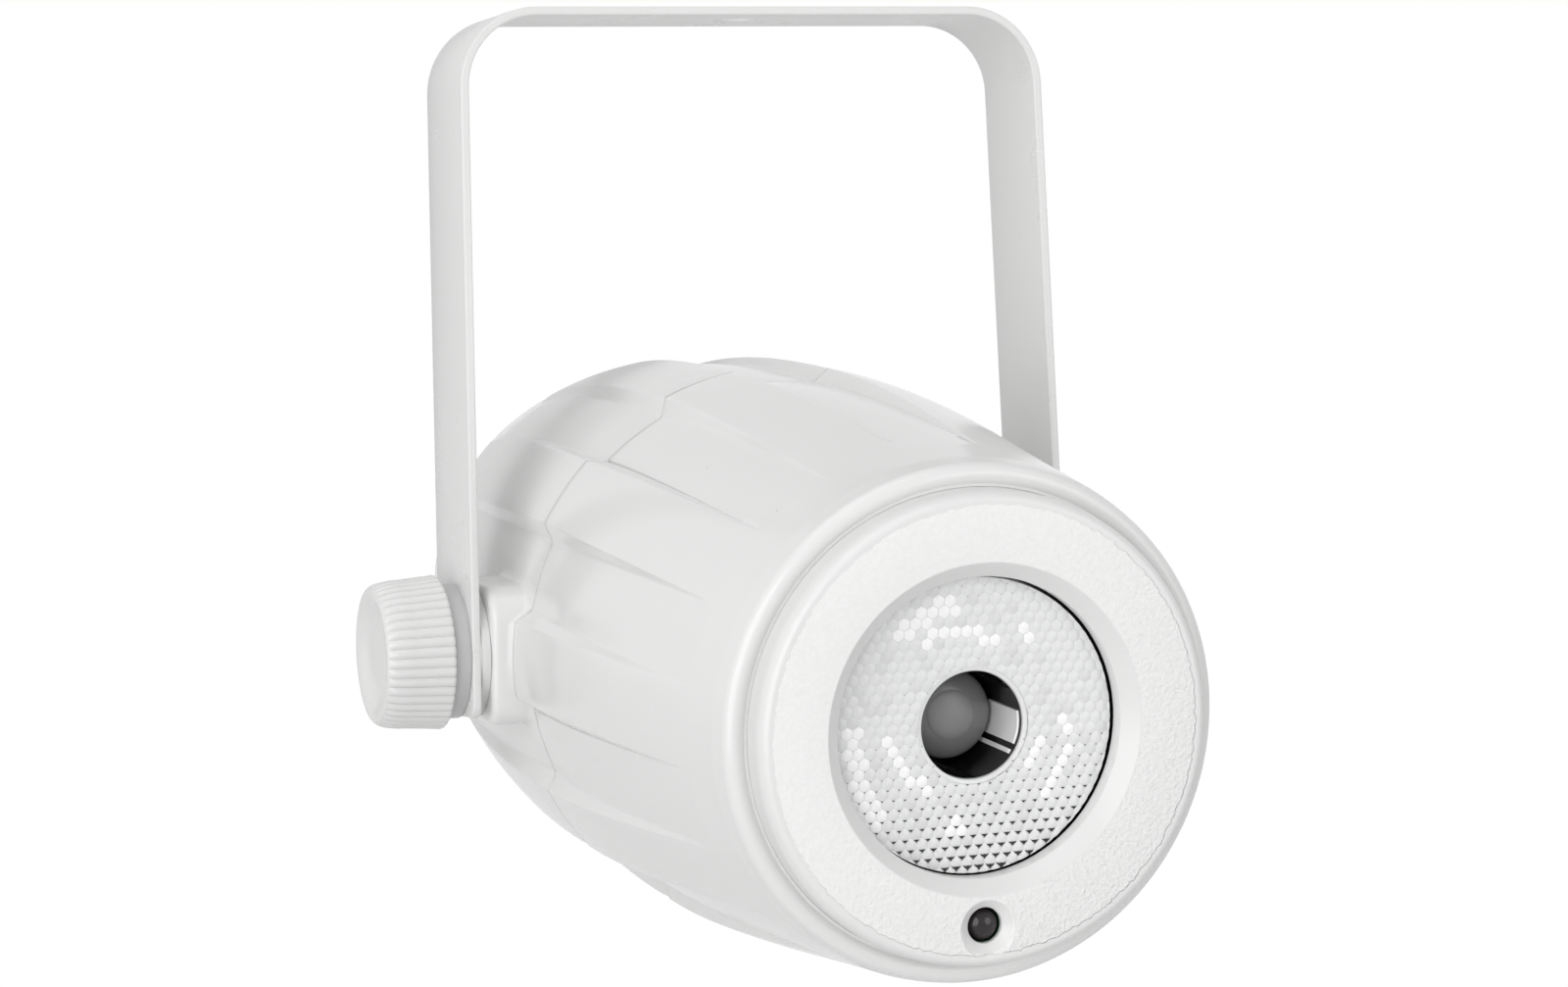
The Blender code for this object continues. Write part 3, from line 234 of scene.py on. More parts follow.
# Face plate: spark-eroded texture with a ragged border, coarser towards the lower edge
plate = {
    "border": 0.0378,  # radius where the texture starts
    "raggedness": 0.0011,
    "fade": 0.0002,
    "peel": (1 / 0.00075, 2.5, 0.55),  # density, detail and roughness
    "wobble": (900.0, 2.0),
    "relief": 0.0004,
    "coarser": (-0.04, 0.055, 0.3, 1.0),  # from here to there across the face, from this share to that
    "mottling": 0.12,
    "tone": 1.15,  # the texture scatters more light than the smooth plastic
    "lowerPaintedShade": 0.1,  # painted shade: darker towards the lower right, where the texture is also coarser
    "rougher": 0.14,
}


def makePlateFinish():
    look = finish("facePlastic", (0.8, 0.8, 0.795), 0.3, 0.0004, 0.000003, specks=0.5)
    tree = look.node_tree
    sockets = tree.nodes["Principled BSDF"].inputs
    smooth, rough = (sockets[name].links[0].from_socket for name in ("Base Color", "Roughness"))
    place = objectPlace(tree)
    parts = placeNode(tree, "ShaderNodeSeparateXYZ", {0: place}).outputs
    flat = placeNode(tree, "ShaderNodeCombineXYZ", {"X": parts["X"], "Z": parts["Z"]}).outputs[0]
    reach = placeNode(tree, "ShaderNodeVectorMath", {0: flat}, operation="LENGTH").outputs["Value"]
    wobble = maths(tree, "MULTIPLY", noise(tree, place, *plate["wobble"]), plate["raggedness"])
    edge = plate["border"] + plate["raggedness"] / 2
    inside = ramp(tree, maths(tree, "ADD", reach, wobble), edge, edge + plate["fade"], 1.0, 0.0)
    peel = noise(tree, place, *plate["peel"])
    lower = ramp(tree, maths(tree, "SUBTRACT", parts["X"], parts["Z"]), *plate["coarser"])
    height = maths(tree, "MULTIPLY", maths(tree, "MULTIPLY", peel, lower), inside)
    mottled = maths(tree, "MULTIPLY", maths(tree, "SUBTRACT", peel, 0.5), plate["mottling"])
    # painted shade: the plate's colour is darkened towards its lower right
    paintedShade = maths(tree, "MULTIPLY", lower, plate["lowerPaintedShade"])
    level = maths(tree, "SUBTRACT", maths(tree, "ADD", mottled, plate["tone"]), paintedShade)
    tree.links.new(bumped(tree, height, plate["relief"]), sockets["Normal"])
    tree.links.new(mixed(tree, inside, smooth, scaled(tree, smooth, level)), sockets["Base Color"])
    rougher = maths(tree, "MULTIPLY", inside, plate["rougher"])
    tree.links.new(maths(tree, "ADD", rough, rougher), sockets["Roughness"])
    return look


# Colour, gloss, grain size and height, then what differs from a plain finish
looks = {"facePlastic": makePlateFinish()}
for name, *values, more in (
    ("paintedStrap", (0.78, 0.78, 0.775), 0.28, 0.0006, 0.000005, {"specks": 0.12, "rubs": 0.1}),
    ("housingPlastic", (0.8, 0.8, 0.795), 0.14, 0.0003, 0.000001,
     {"drift": 0.015, "specks": 0.5, "spread": 0.03, "rubs": 0.05}),
    ("bezelPlastic", (0.78, 0.78, 0.775), 0.3, 0.0003, 0.000002, {}),
    ("knobPlastic", (0.77, 0.77, 0.765), 0.12, 0.0004, 0.000001, {"specks": 0.5, "spread": 0.03}),
    # painted shade: the washer and the outer collar are grey, standing in for the shade round the knob's inner end
    ("spacerPlastic", (0.56, 0.56, 0.56), 0.4, 0.0004, 0.000004, {}),
    ("collarPlastic", (0.76, 0.76, 0.755), 0.4, 0.0004, 0.000004, {}),
    ("seamShade", (0.6, 0.6, 0.6), 0.6, 0.0003, 0.000004, {}),
    ("smokedWindow", (0.012, 0.008, 0.009), 0.08, 0.001, 0.000001, {"spread": 0.02}),
    # painted reflection: the clear lens gets an opaque pale colour that stands in for the light reflected inside it
    ("lensPlastic", (0.8, 0.803, 0.805), 0.1, 0.0006, 0.000002, {"drift": 0.05, "IOR": 1.49}),
    # painted highlight: a bright colour for lens cells and well strips that stand in for caught light and reflections
    ("lensBright", (0.98, 0.98, 0.98), 0.12, 0.0005, 0.000004, {"drift": 0.01}),
    ("lensShade", (0.74, 0.742, 0.745), 0.12, 0.0005, 0.000004, {"drift": 0.06}),
    # painted shade for the dark spots on the lens, and the black of the lens seal
    ("lensFlats", (0.012, 0.012, 0.013), 0.25, 0.0004, 0.000002, {}),
    ("ledDome", (0.26, 0.26, 0.265), 0.22, 0.0005, 0.000002, {}),
    ("ledDisc", (0.34, 0.34, 0.345), 0.35, 0.0003, 0.00001, {"drift": 0.2}),
    ("wellWall", (0.012, 0.012, 0.013), 0.05, 0.002, 0.000002, {"spread": 0.02}),
    ("ledPackage", (0.85, 0.78, 0.4), 0.5, 0.0003, 0.000006, {}),
    ("circuitBoard", (0.03, 0.2, 0.08), 0.4, 0.0008, 0.00001, {"drift": 0.2}),
    ("blackPlastic", (0.028, 0.028, 0.03), 0.38, 0.0004, 0.00001, {"drift": 0.1, "rubs": 0.1}),
    ("blackPanel", (0.032, 0.032, 0.034), 0.5, 0.0005, 0.00003, {"drift": 0.1, "rubs": 0.12}),
    ("buttonPlastic", (0.05, 0.05, 0.052), 0.28, 0.0005, 0.000006, {"drift": 0.1}),
    ("aluminium", (0.75, 0.76, 0.77), 0.34, 0.0004, 0.000004, {"rubs": 0.1, "Metallic": 1.0}),
    ("brass", (0.72, 0.56, 0.28), 0.3, 0.0004, 0.000003, {"Metallic": 1.0}),
    ("zincSteel", (0.62, 0.62, 0.6), 0.3, 0.0005, 0.000004, {"drift": 0.08, "Metallic": 1.0}),
    ("contactMetal", (0.78, 0.77, 0.74), 0.18, 0.0004, 0.000002, {"rubs": 0.15, "Metallic": 1.0}),
    ("unlitDigits", (0.07, 0.035, 0.035), 0.3, 0.0004, 0.000002, {"drift": 0.1}),
    ("greyRubber", (0.3, 0.3, 0.3), 0.7, 0.0005, 0.00001, {}),
    ("fuseGlass", (0.93, 0.95, 0.95), 0.05, 0.0004, 0.000004, {"Transmission Weight": 0.9, "IOR": 1.5}),
):
    looks[name] = finish(name, *values, **more)
slotLooks = {
    "white_strap": "paintedStrap", "white_housing": "housingPlastic", "white_face": "facePlastic",
    "white_knob": "knobPlastic", "smoked_window": "smokedWindow", "clear_lens": "lensPlastic",
    "clear_dome": "ledDome", "led_package": "ledPackage", "circuit_board": "circuitBoard",
    "black_plastic": "blackPlastic", "black_panel": "blackPanel", "button_plastic": "buttonPlastic",
    "aluminium": "aluminium", "brass": "brass", "zinc_steel": "zincSteel", "contact_metal": "contactMetal",
    "grey_rubber": "greyRubber", "fuse_glass": "fuseGlass",
}
for name, slot in slotOf.items():
    mesh = nodes[name].data
    mesh.materials.clear()
    mesh.materials.append(looks[slotLooks[slot]])
print("finishes made:", len(looks))


# Mesh helpers; a head piece is made with ahead along -Y and put in place by headPlace
def between(start, end, steps):
    return [start + (end - start) * step / steps for step in range(steps + 1)]


def softened(corners, steps=4):
    # a chain of (along, radius) corners, with an arc where a corner carries a fillet radius
    points = []
    for index, corner in enumerate(corners):
        here = Vector(corner[:2])
        if len(corner) == 2:
            points.append(tuple(here))
            continue
        fillet = corner[2]
        before = (Vector(corners[index - 1][:2]) - here).normalized()
        after = (Vector(corners[(index + 1) % len(corners)][:2]) - here).normalized()
        half = before.angle(after) / 2
        centre = here + (before + after).normalized() * fillet / sin(half)
        start, end = (here + side * fillet / tan(half) - centre for side in (before, after))
        first = atan2(start.y, start.x)
        turn = (atan2(end.y, end.x) - first + pi) % (2 * pi) - pi
        for angle in between(first, first + turn, steps):
            points.append((centre.x + fillet * cos(angle), centre.y + fillet * sin(angle)))
    return points


def skin(rings, closed=False):  # rings of as many points each; a single point is a pole
    mesh = bmesh.new()
    rows = [[mesh.verts.new(spot) for spot in ring] for ring in rings]
    for first, second in zip(rows, rows[1:] + rows[:1] if closed else rows[1:]):
        count = max(len(first), len(second))
        for step in range(count):
            after = (step + 1) % count
            if len(first) == 1:
                mesh.faces.new((first[0], second[after], second[step]))
            elif len(second) == 1:
                mesh.faces.new((first[step], first[after], second[0]))
            else:
                mesh.faces.new((first[step], first[after], second[after], second[step]))
    return mesh


def capped(rings):  # a skin with flat ends
    mesh = skin(rings)
    mesh.verts.ensure_lookup_table()
    mesh.faces.new(mesh.verts[: len(rings[0])])
    mesh.faces.new(mesh.verts[-len(rings[-1]):])
    return mesh


def levelled(levels, outline):  # a solid along the beam from (ahead, inset) levels and outline(inset) in (x, z)
    return capped([[(x, -ahead, z) for x, z in outline(inset)] for ahead, inset in levels])


def lathe(outline, sides=96, closed=False, axis="Y", centre=(0, 0)):
    # centre is (x, z) for a head piece turned about the beam
    rings = []
    for along, radius in softened(outline):
        ring = []
        for turn in between(0, 2 * pi, sides)[: 1 if radius < 1e-7 else sides]:
            one, two = radius * cos(turn), radius * sin(turn)
            if axis == "Y":
                ring.append((centre[0] + one, -along, centre[1] + two))
            else:
                ring.append((along, one, two) if axis == "X" else (one, two, along))
        rings.append(ring)
    return skin(rings, closed)


quarterSigns = ((1, 1), (-1, 1), (-1, -1), (1, -1))


def quarterTurns(quarter, steps):
    return [pi / 2 * (quarter + step / steps) for step in range(steps + 1)]


def roundedBox(width, height, corner, inset=0.0, steps=5):  # a ring of (x, z) points
    bend = max(corner - inset, 0.00002)
    across, tall = width / 2 - inset - bend, height / 2 - inset - bend
    ring = []
    for quarter, (signX, signZ) in enumerate(quarterSigns):
        for angle in quarterTurns(quarter, steps):
            ring.append((signX * across + bend * cos(angle), signZ * tall + bend * sin(angle)))
    return ring


def boxOutline(x, z, *box):
    def outline(inset):
        return [(x + spotX, z + spotZ) for spotX, spotZ in roundedBox(*box, inset)]

    return outline


def roundOutline(x, z, radius, steps=48):
    def outline(inset):
        turns = between(0, 2 * pi, steps)[:-1]
        return [(x + (radius - inset) * cos(turn), z + (radius - inset) * sin(turn)) for turn in turns]

    return outline


def slab(centre, rear, front, width, height, corner, edge=0.0003):
    # a block along the beam with rounded corners, and rounded edges at its rear face
    levels = [(front, 0.0)]
    levels += [(rear + edge * (1 - sin(turn)), edge * (1 - cos(turn))) for turn in between(0, pi / 2, 3)]
    return levelled(levels, boxOutline(*centre, width, height, corner))


def joinMeshes(*parts):
    whole = bmesh.new()
    for part in parts:
        mesh = bpy.data.meshes.new("part")
        bmesh.ops.recalc_face_normals(part, faces=part.faces[:])
        part.to_mesh(mesh)
        part.free()
        whole.from_mesh(mesh)
        bpy.data.meshes.remove(mesh)
    return whole


def makeObject(name, mesh, turned=True):
    if turned:  # faces are turned outwards
        bmesh.ops.recalc_face_normals(mesh, faces=mesh.faces[:])
        if all(edge.is_manifold for edge in mesh.edges) and mesh.calc_volume(signed=True) < 0:
            bmesh.ops.reverse_faces(mesh, faces=mesh.faces[:])
    data = bpy.data.meshes.new(name)
    mesh.to_mesh(data)
    mesh.free()
    piece = bpy.data.objects.new(name, data)
    bpy.context.scene.collection.objects.link(piece)
    return piece


def carve(piece, tool, operation="DIFFERENCE"):  # a Boolean whose result replaces the mesh at once
    helper = makeObject("tool", tool)
    modifier = piece.modifiers.new("carve", "BOOLEAN")
    modifier.object = helper
    modifier.operation = operation
    modifier.solver = "EXACT"
    evaluated = piece.evaluated_get(bpy.context.evaluated_depsgraph_get())
    carved = bpy.data.meshes.new_from_object(evaluated)
    piece.modifiers.clear()
    old = piece.data
    name = old.name
    piece.data = carved
    bpy.data.meshes.remove(old)
    carved.name = name
    bpy.data.objects.remove(helper)


def paint(piece, names, kindOf):  # give each face the finish that kindOf(middle, reach) picks from the names
    for name in names:
        piece.data.materials.append(looks[name])
    for face in piece.data.polygons:
        face.material_index = kindOf(face.center, hypot(face.center.x, face.center.z))


def settle(piece, body, node=None, look=None, place=headPlace, sharp=38):
    # shade the piece, put it in place and hand it to its body; the slot of the CAD node that it replaces picks its
    # finish, and that node is hidden
    piece.data.shade_smooth()
    piece.data.set_sharp_from_angle(angle=radians(sharp))
    if not piece.data.materials:
        piece.data.materials.append(looks[look or slotLooks[slotOf[node]]])
    piece.matrix_world = place
    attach(piece, body)
    if node:
        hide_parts(node)


# Yoke: one steel strap, bent twice, drilled for the mounting bolt and the studs
strap = {
    "thickness": 0.0016,
    "bend": 0.015,  # outer radius
    "splay": radians(1.02),
    "edge": 0.0003,
    "footCorner": 0.003,
    "mountHole": 0.0041,
    "studHole": 0.0043,
    "holeEdge": 0.00025,
    "bendSteps": 20,
    "topShares": (0.66, 0.33, 0.12),  # rows between the bend and the mounting hole
}
beyond = 0.001  # how far a cutter reaches past the face that it cuts


def makeStrap():
    low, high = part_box("yoke")
    half = (high[1] - low[1]) / 2
    footX, footZ = high[0], low[2]
    thickness, bend, leg = strap["thickness"], strap["bend"], strap["splay"]
    corner, edge = strap["footCorner"], strap["edge"]
    cornerX = footX + tan(leg) * footZ  # where the leg's line meets the top face
    legLength = hypot(cornerX - footX, footZ) - bend * tan(pi / 4 - leg / 2)
    outward = Vector((cos(leg), sin(leg)))
    rows = []  # (x, z, outward normal x, z, half width, inset)

    def legRow(fromFoot, halfWidth, inset=0.0):
        spot = Vector((footX, footZ)) + Vector((-sin(leg), cos(leg))) * fromFoot
        rows.append((*spot, *outward, halfWidth, inset))

    def footWidth(fromFoot):  # the foot's corners are round
        return half - corner + sqrt(max(corner**2 - (corner - fromFoot) ** 2, 0))

    legRow(0, half - corner, edge)
    legRow(edge * 0.3, footWidth(edge * 0.3), edge * 0.3)
    for turn in between(0, pi / 2, 7)[1:]:
        rise = corner * (1 - cos(turn))
        legRow(max(rise, edge * 0.6), footWidth(rise))
    for fromFoot in between(corner, legLength, 8)[1:]:
        legRow(fromFoot, half)
    centre = Vector(rows[-1][:2]) - outward * bend
    for angle in between(leg, pi / 2, strap["bendSteps"])[1:]:
        spot = centre + Vector((cos(angle), sin(angle))) * bend
        rows.append((*spot, cos(angle), sin(angle), half, 0.0))
    rows += [(centre.x * share, centre.y + bend, 0, 1, half, 0.0) for share in strap["topShares"]]
    rows += [(-x, z, -outX, outZ, halfWidth, inset) for x, z, outX, outZ, halfWidth, inset in reversed(rows)]
    rings = []
    for x, z, outX, outZ, halfWidth, inset in rows:
        box = roundedBox(2 * halfWidth, thickness, edge, inset, 3)
        sinks = [(across, thickness / 2 - deep) for across, deep in box]
        rings.append([(x - outX * sink, across, z - outZ * sink) for across, sink in sinks])
    piece = makeObject("yokeStrap", capped(rings))
    hole, edge = strap["mountHole"], strap["holeEdge"]
    mouth = hole + edge + beyond
    outline = [(beyond, 0), (beyond, mouth), (-edge, hole), (edge - thickness, hole)]
    outline += [(-thickness - beyond, mouth), (-thickness - beyond, 0)]
    carve(piece, lathe(outline, 48, axis="Z"))
    reach = footX + beyond
    studs = lathe([(-reach, 0), (-reach, strap["studHole"]), (reach, strap["studHole"]), (reach, 0)], 48, axis="X")
    bmesh.ops.translate(studs, vec=pivot, verts=studs.verts[:])
    carve(piece, studs)
    settle(piece, "yoke", "yoke", place=yokePlace)


# Housing: a front and a rear shell, with wedge panels raised and recessed by turns
housing = {
    "seam": 0.014,
    "gap": 0.0003,
    "shoulderRadius": 0.0529,
    "rimBase": 0.104,
    "rimRadius": 0.0449,
    "noseTaper": 0.108,
    "tail": 0.078,
    "tailRadius": 0.0436,
    "tailPower": 2.6,
    "rearEdge": 0.002,
    "wall": 0.0022,
    "lapWall": 0.0012,
    "lapRoot": 0.021,
    "pairs": 10,
    "tip": 0.095,
    "seamRecess": 0.003,
    "tailRecess": 0.0007,
    "stepMin": radians(0.4),
    "stepLean": radians(780),
    "crispSide": 0.12,  # share of a step that rounds over at its raised edge
    "softSide": 0.25,  # and at its foot
    "seamEdge": 0.00007,
    "footGroove": 0.0005,  # where a raised panel turns away, its foot has a narrow groove
    "lip": (0.009, 0.00035),  # the rear shell rounds down to the seam: over this length, by this much
    "capClearance": 0.00005,
    "capGroove": 0.0013,  # floor of the groove round the face cap, ahead of where the nose rounds over
    "ledge": (0.0957, 0.0932, 0.0371),  # front, rear, inside radius
    "panelSlip": 0.0004,
    "panelLedge": (-0.0742, -0.0722, 0.0022),  # rear, front, how far it reaches under the panel
}
halfPair = pi / housing["pairs"]  # from the middle of a raised panel to the middle of a recess
# places across a step, from its raised edge (0) to its foot (1), closer together where it rounds
groovePlace = 1.12
stepPlaces = (-0.12, -0.06, 0.0, 0.06, 0.12, 0.4, 0.75, 0.88, 1.0, groovePlace, 1.25)


def hermite(share, start, end, startRise, endRise):
    square, cube = share**2, share**3
    first = (2 * cube - 3 * square + 1) * start + (cube - 2 * square + share) * startRise
    return first + (3 * square - 2 * cube) * end + (cube - square) * endRise


def raisedRadius(ahead):
    seam, shoulder = housing["seam"], housing["shoulderRadius"]
    if ahead >= seam:
        span = housing["rimBase"] - seam
        share = (ahead - seam) / span
        if share > 1:
            return housing["rimRadius"] - housing["noseTaper"] * (ahead - housing["rimBase"])
        return hermite(share, shoulder, housing["rimRadius"], 0, -housing["noseTaper"] * span)
    share = min((seam - ahead) / (seam + housing["tail"]), 1.0)
    return shoulder - (shoulder - housing["tailRadius"]) * share ** housing["tailPower"]


def recessDepth(ahead):
    seam, full = housing["seam"], housing["seamRecess"]
    if ahead >= seam:
        return full * max(housing["tip"] - ahead, 0) / (housing["tip"] - seam)
    return full + (housing["tailRecess"] - full) * (seam - ahead) / (seam + housing["tail"])


def stepWidth(depth):
    return housing["stepMin"] + housing["stepLean"] * depth


def stepPlace(turn, depth):  # turn is from the middle of a raised panel
    away = abs((turn + halfPair) % (2 * halfPair) - halfPair)
    return (away - (halfPair - stepWidth(depth)) / 2) / stepWidth(depth)


def softRamp(value, soft):
    return 0.0 if value <= -soft else value if value >= soft else (value + soft) ** 2 / (4 * soft)


def sunkShare(turn, depth):  # 0 on a raised panel, 1 in a recess
    place = stepPlace(turn, depth)
    sunk = softRamp(place, housing["crispSide"]) - softRamp(place - 1, housing["softSide"])
    return min(max(sunk, 0.0), 1.0)


def footGroove(angle, turn, depth):
    # only on the side of a raised panel that is further from the pivot's height
    side = 1 if turn < halfPair else -1
    away = turn if side > 0 else 2 * halfPair - turn
    upper = sin(angle - side * away) > 0.01
    if side * cos(angle) * (1 if upper else -1) <= 0 or abs(stepPlace(turn, depth) - groovePlace) > 0.02:
        return 0.0
    return housing["footGroove"] * depth / housing["seamRecess"]


def housingRing(ahead, radius, depth, grooved=False):
    turns = [(halfPair - stepWidth(depth)) / 2 + stepWidth(depth) * place for place in stepPlaces]
    turns = between(0, turns[0], 4)[:-1] + turns + between(turns[-1], halfPair, 4)[1:]
    turns += [2 * halfPair - turn for turn in reversed(turns[1:-1])]
    ring = []
    for pair in range(housing["pairs"]):
        for turn in turns:
            angle = 2 * halfPair * pair + turn
            reach = radius - depth * sunkShare(turn, depth) - (footGroove(angle, turn, depth) if grooved else 0.0)
            ring.append((reach * cos(angle), -ahead, reach * sin(angle)))
    return ring


def shellRing(ahead, inset=0.0):
    outside = inset < housing["lapWall"] and ahead >= housing["seam"]
    return housingRing(ahead, raisedRadius(ahead) - inset, recessDepth(ahead), outside)


def shellRings(start, end, steps, inset=0.0):
    return [shellRing(ahead, inset) for ahead in between(start, end, steps)]


def roundRings(*outline):
    return [housingRing(ahead, radius, 0.0) for ahead, radius in outline]


def lipDrop(ahead):
    length, drop = housing["lip"]
    return drop * max(1 - (housing["seam"] - ahead) / length, 0.0) ** 2


def shadeSeam(piece, ahead, lap=False):  # the walls of the parting line lie in shadow, and the lap beyond it
    def kindOf(spot, reach):
        return int(abs(spot.y + ahead) < 0.0002 and reach < raisedRadius(ahead) or lap and -spot.y > ahead + 0.0001)

    paint(piece, ("housingPlastic", "seamShade"), kindOf)


def makeFrontShell():
    seam, rimFront = (corner.y for corner in headBox("front_shell"))
    capRadius = headBox("face_cap")[1].x
    bore, socket = capRadius + 0.0001, capRadius + housing["capClearance"]
    edge, tip = housing["seamEdge"], housing["tip"]
    ledgeFront, ledgeRear, ledgeRadius = housing["ledge"]
    nose = (raisedRadius(rimFront) - bore) / 2
    rounding = rimFront - nose
    rings = [shellRing(seam, edge), shellRing(seam + edge * 0.3, edge * 0.3)]
    rings += shellRings(seam + edge, tip, 44) + shellRings(tip, rounding, 7)[1:-1]
    rings += roundRings(*(
        (rounding + nose * cos(turn), bore + nose + nose * sin(turn))
        for turn in between(pi / 2, asin(housing["capGroove"] / nose) - pi / 2, 16)
    ))
    rings += roundRings((rounding + housing["capGroove"], socket), (ledgeFront, socket))
    rings += roundRings((ledgeFront, ledgeRadius), (ledgeRear, ledgeRadius))
    rings += shellRings(ledgeRear, seam, 6, housing["wall"])
    piece = makeObject("frontShell", skin(rings, closed=True))
    shadeSeam(piece, seam)
    settle(piece, "head", "front_shell", sharp=32)


# Square boss for the spacer, blended into the rear shell
pad = {
    "side": 0.026,
    "corners": {1: 0.0066, -1: 0.0042},  # radius of the upper and of the lower corners
    "edge": 0.0014,
    "blend": 0.0014,
    "blendTurns": (-0.35, 0.0, 0.2, 0.45, 0.75, 1.0),  # in quarter turns; below zero it is sunk in the shell
    "sink": 0.0012,
    "bore": 0.0043,
    "boreDepth": 0.012,
    "boreEnd": 0.08,  # how far out the bore's cutter reaches
}


def shellReach(ahead, up):  # how far out the shell's surface is above a point of the pad's outline
    radius, depth = raisedRadius(ahead) - lipDrop(ahead), recessDepth(ahead)
    reach = radius
    for again in range(3):
        reach = radius - depth * sunkShare(atan2(up, sqrt(reach**2 - up**2)), depth)
    return sqrt(reach**2 - up**2)


def padOutline(inset, steps=8):  # (ahead, up) points
    def corner(quarter):  # its middle and its radius
        signY, signZ = quarterSigns[quarter % 4]
        bend = max(pad["corners"][signZ] - inset, 0.0003)
        arm = pad["side"] / 2 - inset - bend
        return signY * arm, signZ * arm, bend

    ring = []
    for quarter in range(4):
        middleY, middleZ, bend = corner(quarter)
        for angle in quarterTurns(quarter, steps):
            ring.append((middleY + bend * cos(angle), middleZ + bend * sin(angle)))
        # and three points on the straight side that follows
        endY, endZ = ring[-1]
        nextY, nextZ, _ = corner(quarter + 1)
        goalY, goalZ = (endY, nextZ) if quarter % 2 else (nextY, endZ)
        ring += [(endY + (goalY - endY) * share, endZ + (goalZ - endZ) * share) for share in (0.25, 0.5, 0.75)]
    return ring


def makePad(side, face):
    blend, edge = pad["blend"], pad["edge"]
    rings = []
    for turn in pad["blendTurns"]:  # from the shell up to the pad's wall
        angle = pi / 2 * max(turn, 0.0)
        ring = []
        for ahead, up in padOutline(-blend * (1 - sin(angle))):
            ahead = min(ahead, housing["seam"] - housing["gap"])
            out = shellReach(ahead, up) + blend * (1 - cos(angle)) - (pad["sink"] if turn < 0 else 0.00005)
            ring.append((side * min(out, face - edge), -ahead, up))
        rings.append(ring)
    for angle in between(0, pi / 2, 6):
        outline = padOutline(edge * (1 - cos(angle)))
        rings.append([(side * (face - edge * (1 - sin(angle))), -ahead, up) for ahead, up in outline])
    return capped(rings)


def makeRearShell():
    rearEnd, lipFront = (corner.y for corner in headBox("rear_shell"))
    seam, seamFront = housing["seam"] - housing["gap"] / 3, housing["seam"]
    edge, wall = housing["seamEdge"], housing["wall"]
    seat, ledgeFront, under = housing["panelLedge"]
    panel = headBox("rear_panel")[1].x
    opening, ledge = panel + housing["panelSlip"], panel - under
    lipInset = wall + housing["gap"]
    corner, tail, tailRadius = housing["rearEdge"], housing["tail"], housing["tailRadius"]
    drop, lipStart = lipDrop(seam), seamFront - housing["lip"][0]
    rings = [shellRing(seam, drop + edge), shellRing(seam - edge * 0.3, drop + edge * 0.3)]
    rings += [shellRing(ahead, lipDrop(ahead)) for ahead in between(seam - edge, lipStart, 9)]
    rings += shellRings(lipStart, -tail, 46)[1:]
    rings += roundRings(*(
        (-tail - corner * sin(turn), tailRadius - corner * (1 - cos(turn))) for turn in between(0, pi / 2, 6)[1:]
    ))
    rings += roundRings(
        (rearEnd, opening + 0.0002), (rearEnd + 0.0002, opening), (seat, opening), (seat, ledge), (ledgeFront, ledge)
    )
    rings += shellRings(ledgeFront, seamFront - 2 * housing["lapRoot"], 3, wall)
    rings += shellRings(seamFront - housing["lapRoot"], lipFront, 4, lipInset + housing["lapWall"])
    rings += [shellRing(lipFront, lipInset), shellRing(seam, lipInset)]
    piece = makeObject("rearShell", skin(rings, closed=True))
    padFace = -headBox("left_spacer")[1].x
    for side in (-1, 1):
        carve(piece, makePad(side, padFace - 0.0003), "UNION")
    inner, outer, bore = padFace - pad["boreDepth"], pad["boreEnd"], pad["bore"]
    bores = [[(side * inner, 0), (side * inner, bore), (side * outer, bore), (side * outer, 0)] for side in (-1, 1)]
    carve(piece, joinMeshes(*(lathe(outline, 40, axis="X") for outline in bores)))
    shadeSeam(piece, seam, lap=True)
    settle(piece, "head", "rear_shell", sharp=30)


# Face cap: textured plate with a conical bezel round the lens and a countersunk hole for the receiver
cap = {
    "wall": 0.002,
    "dish": 0.0007,
    "edge": (0.0016, 0.0026),
    "aperture": 0.0255,
    "bevel": (0.0026, 0.0027),
    "irDrop": 0.0332,
    "irHole": 0.00305,
    "irFlare": (0.00155, 0.0012),
    "irCutter": (0.004, 0.002),  # how far its cutter reaches behind and ahead of the plate
}


def makeFaceCap():
    low, high = headBox("face_cap")
    front, radius, rear = high.y, high.x, low.y
    inner = front - cap["dish"]
    wide, deep = cap["edge"]
    bevelWide, bevelDeep = cap["bevel"]
    mouth, wall = cap["aperture"], cap["wall"]
    rim = mouth + bevelWide
    apertureRear = headBox("lens")[1].y + 0.0003
    outline = [(rear, radius)]
    outline += [(front - deep * (1 - sin(turn)), radius - wide * (1 - cos(turn))) for turn in between(0, pi / 2, 10)]
    outline += [(inner, rim, 0.0004), (inner - bevelDeep, mouth, 0.0003)]
    outline += [(apertureRear, mouth, 0.0001), (apertureRear, mouth + wall)]
    outline += [(inner - wall - bevelDeep / 2, mouth + wall), (inner - wall, rim + wall)]
    outline += [(inner - wall, radius - wall), (rear, radius - wall)]
    piece = makeObject("faceCap", lathe(outline, 192, True))
    hole, drop = cap["irHole"], -cap["irDrop"]
    flare, flareDeep = cap["irFlare"]
    behind, ahead = cap["irCutter"]
    irFront = inner + 0.0001
    flared = hole + flare
    outline = [(inner - behind, 0), (inner - behind, hole), (irFront - flareDeep, hole, 0.0004), (irFront, flared)]
    outline += [(irFront + ahead, flared + flare / flareDeep * ahead), (irFront + ahead, 0)]
    carve(piece, lathe(outline, 64, centre=(0, drop)))

    def kindOf(spot, reach):  # the plate is textured; the bezel and the countersink are smooth
        inSink = hypot(spot.x, spot.z - drop) < flared and -spot.y < inner - 0.00003
        return int(inSink or reach < rim + 0.0002 or -spot.y < inner - 0.003)

    paint(piece, ("facePlastic", "bezelPlastic"), kindOf)
    settle(piece, "head", "face_cap", sharp=30)


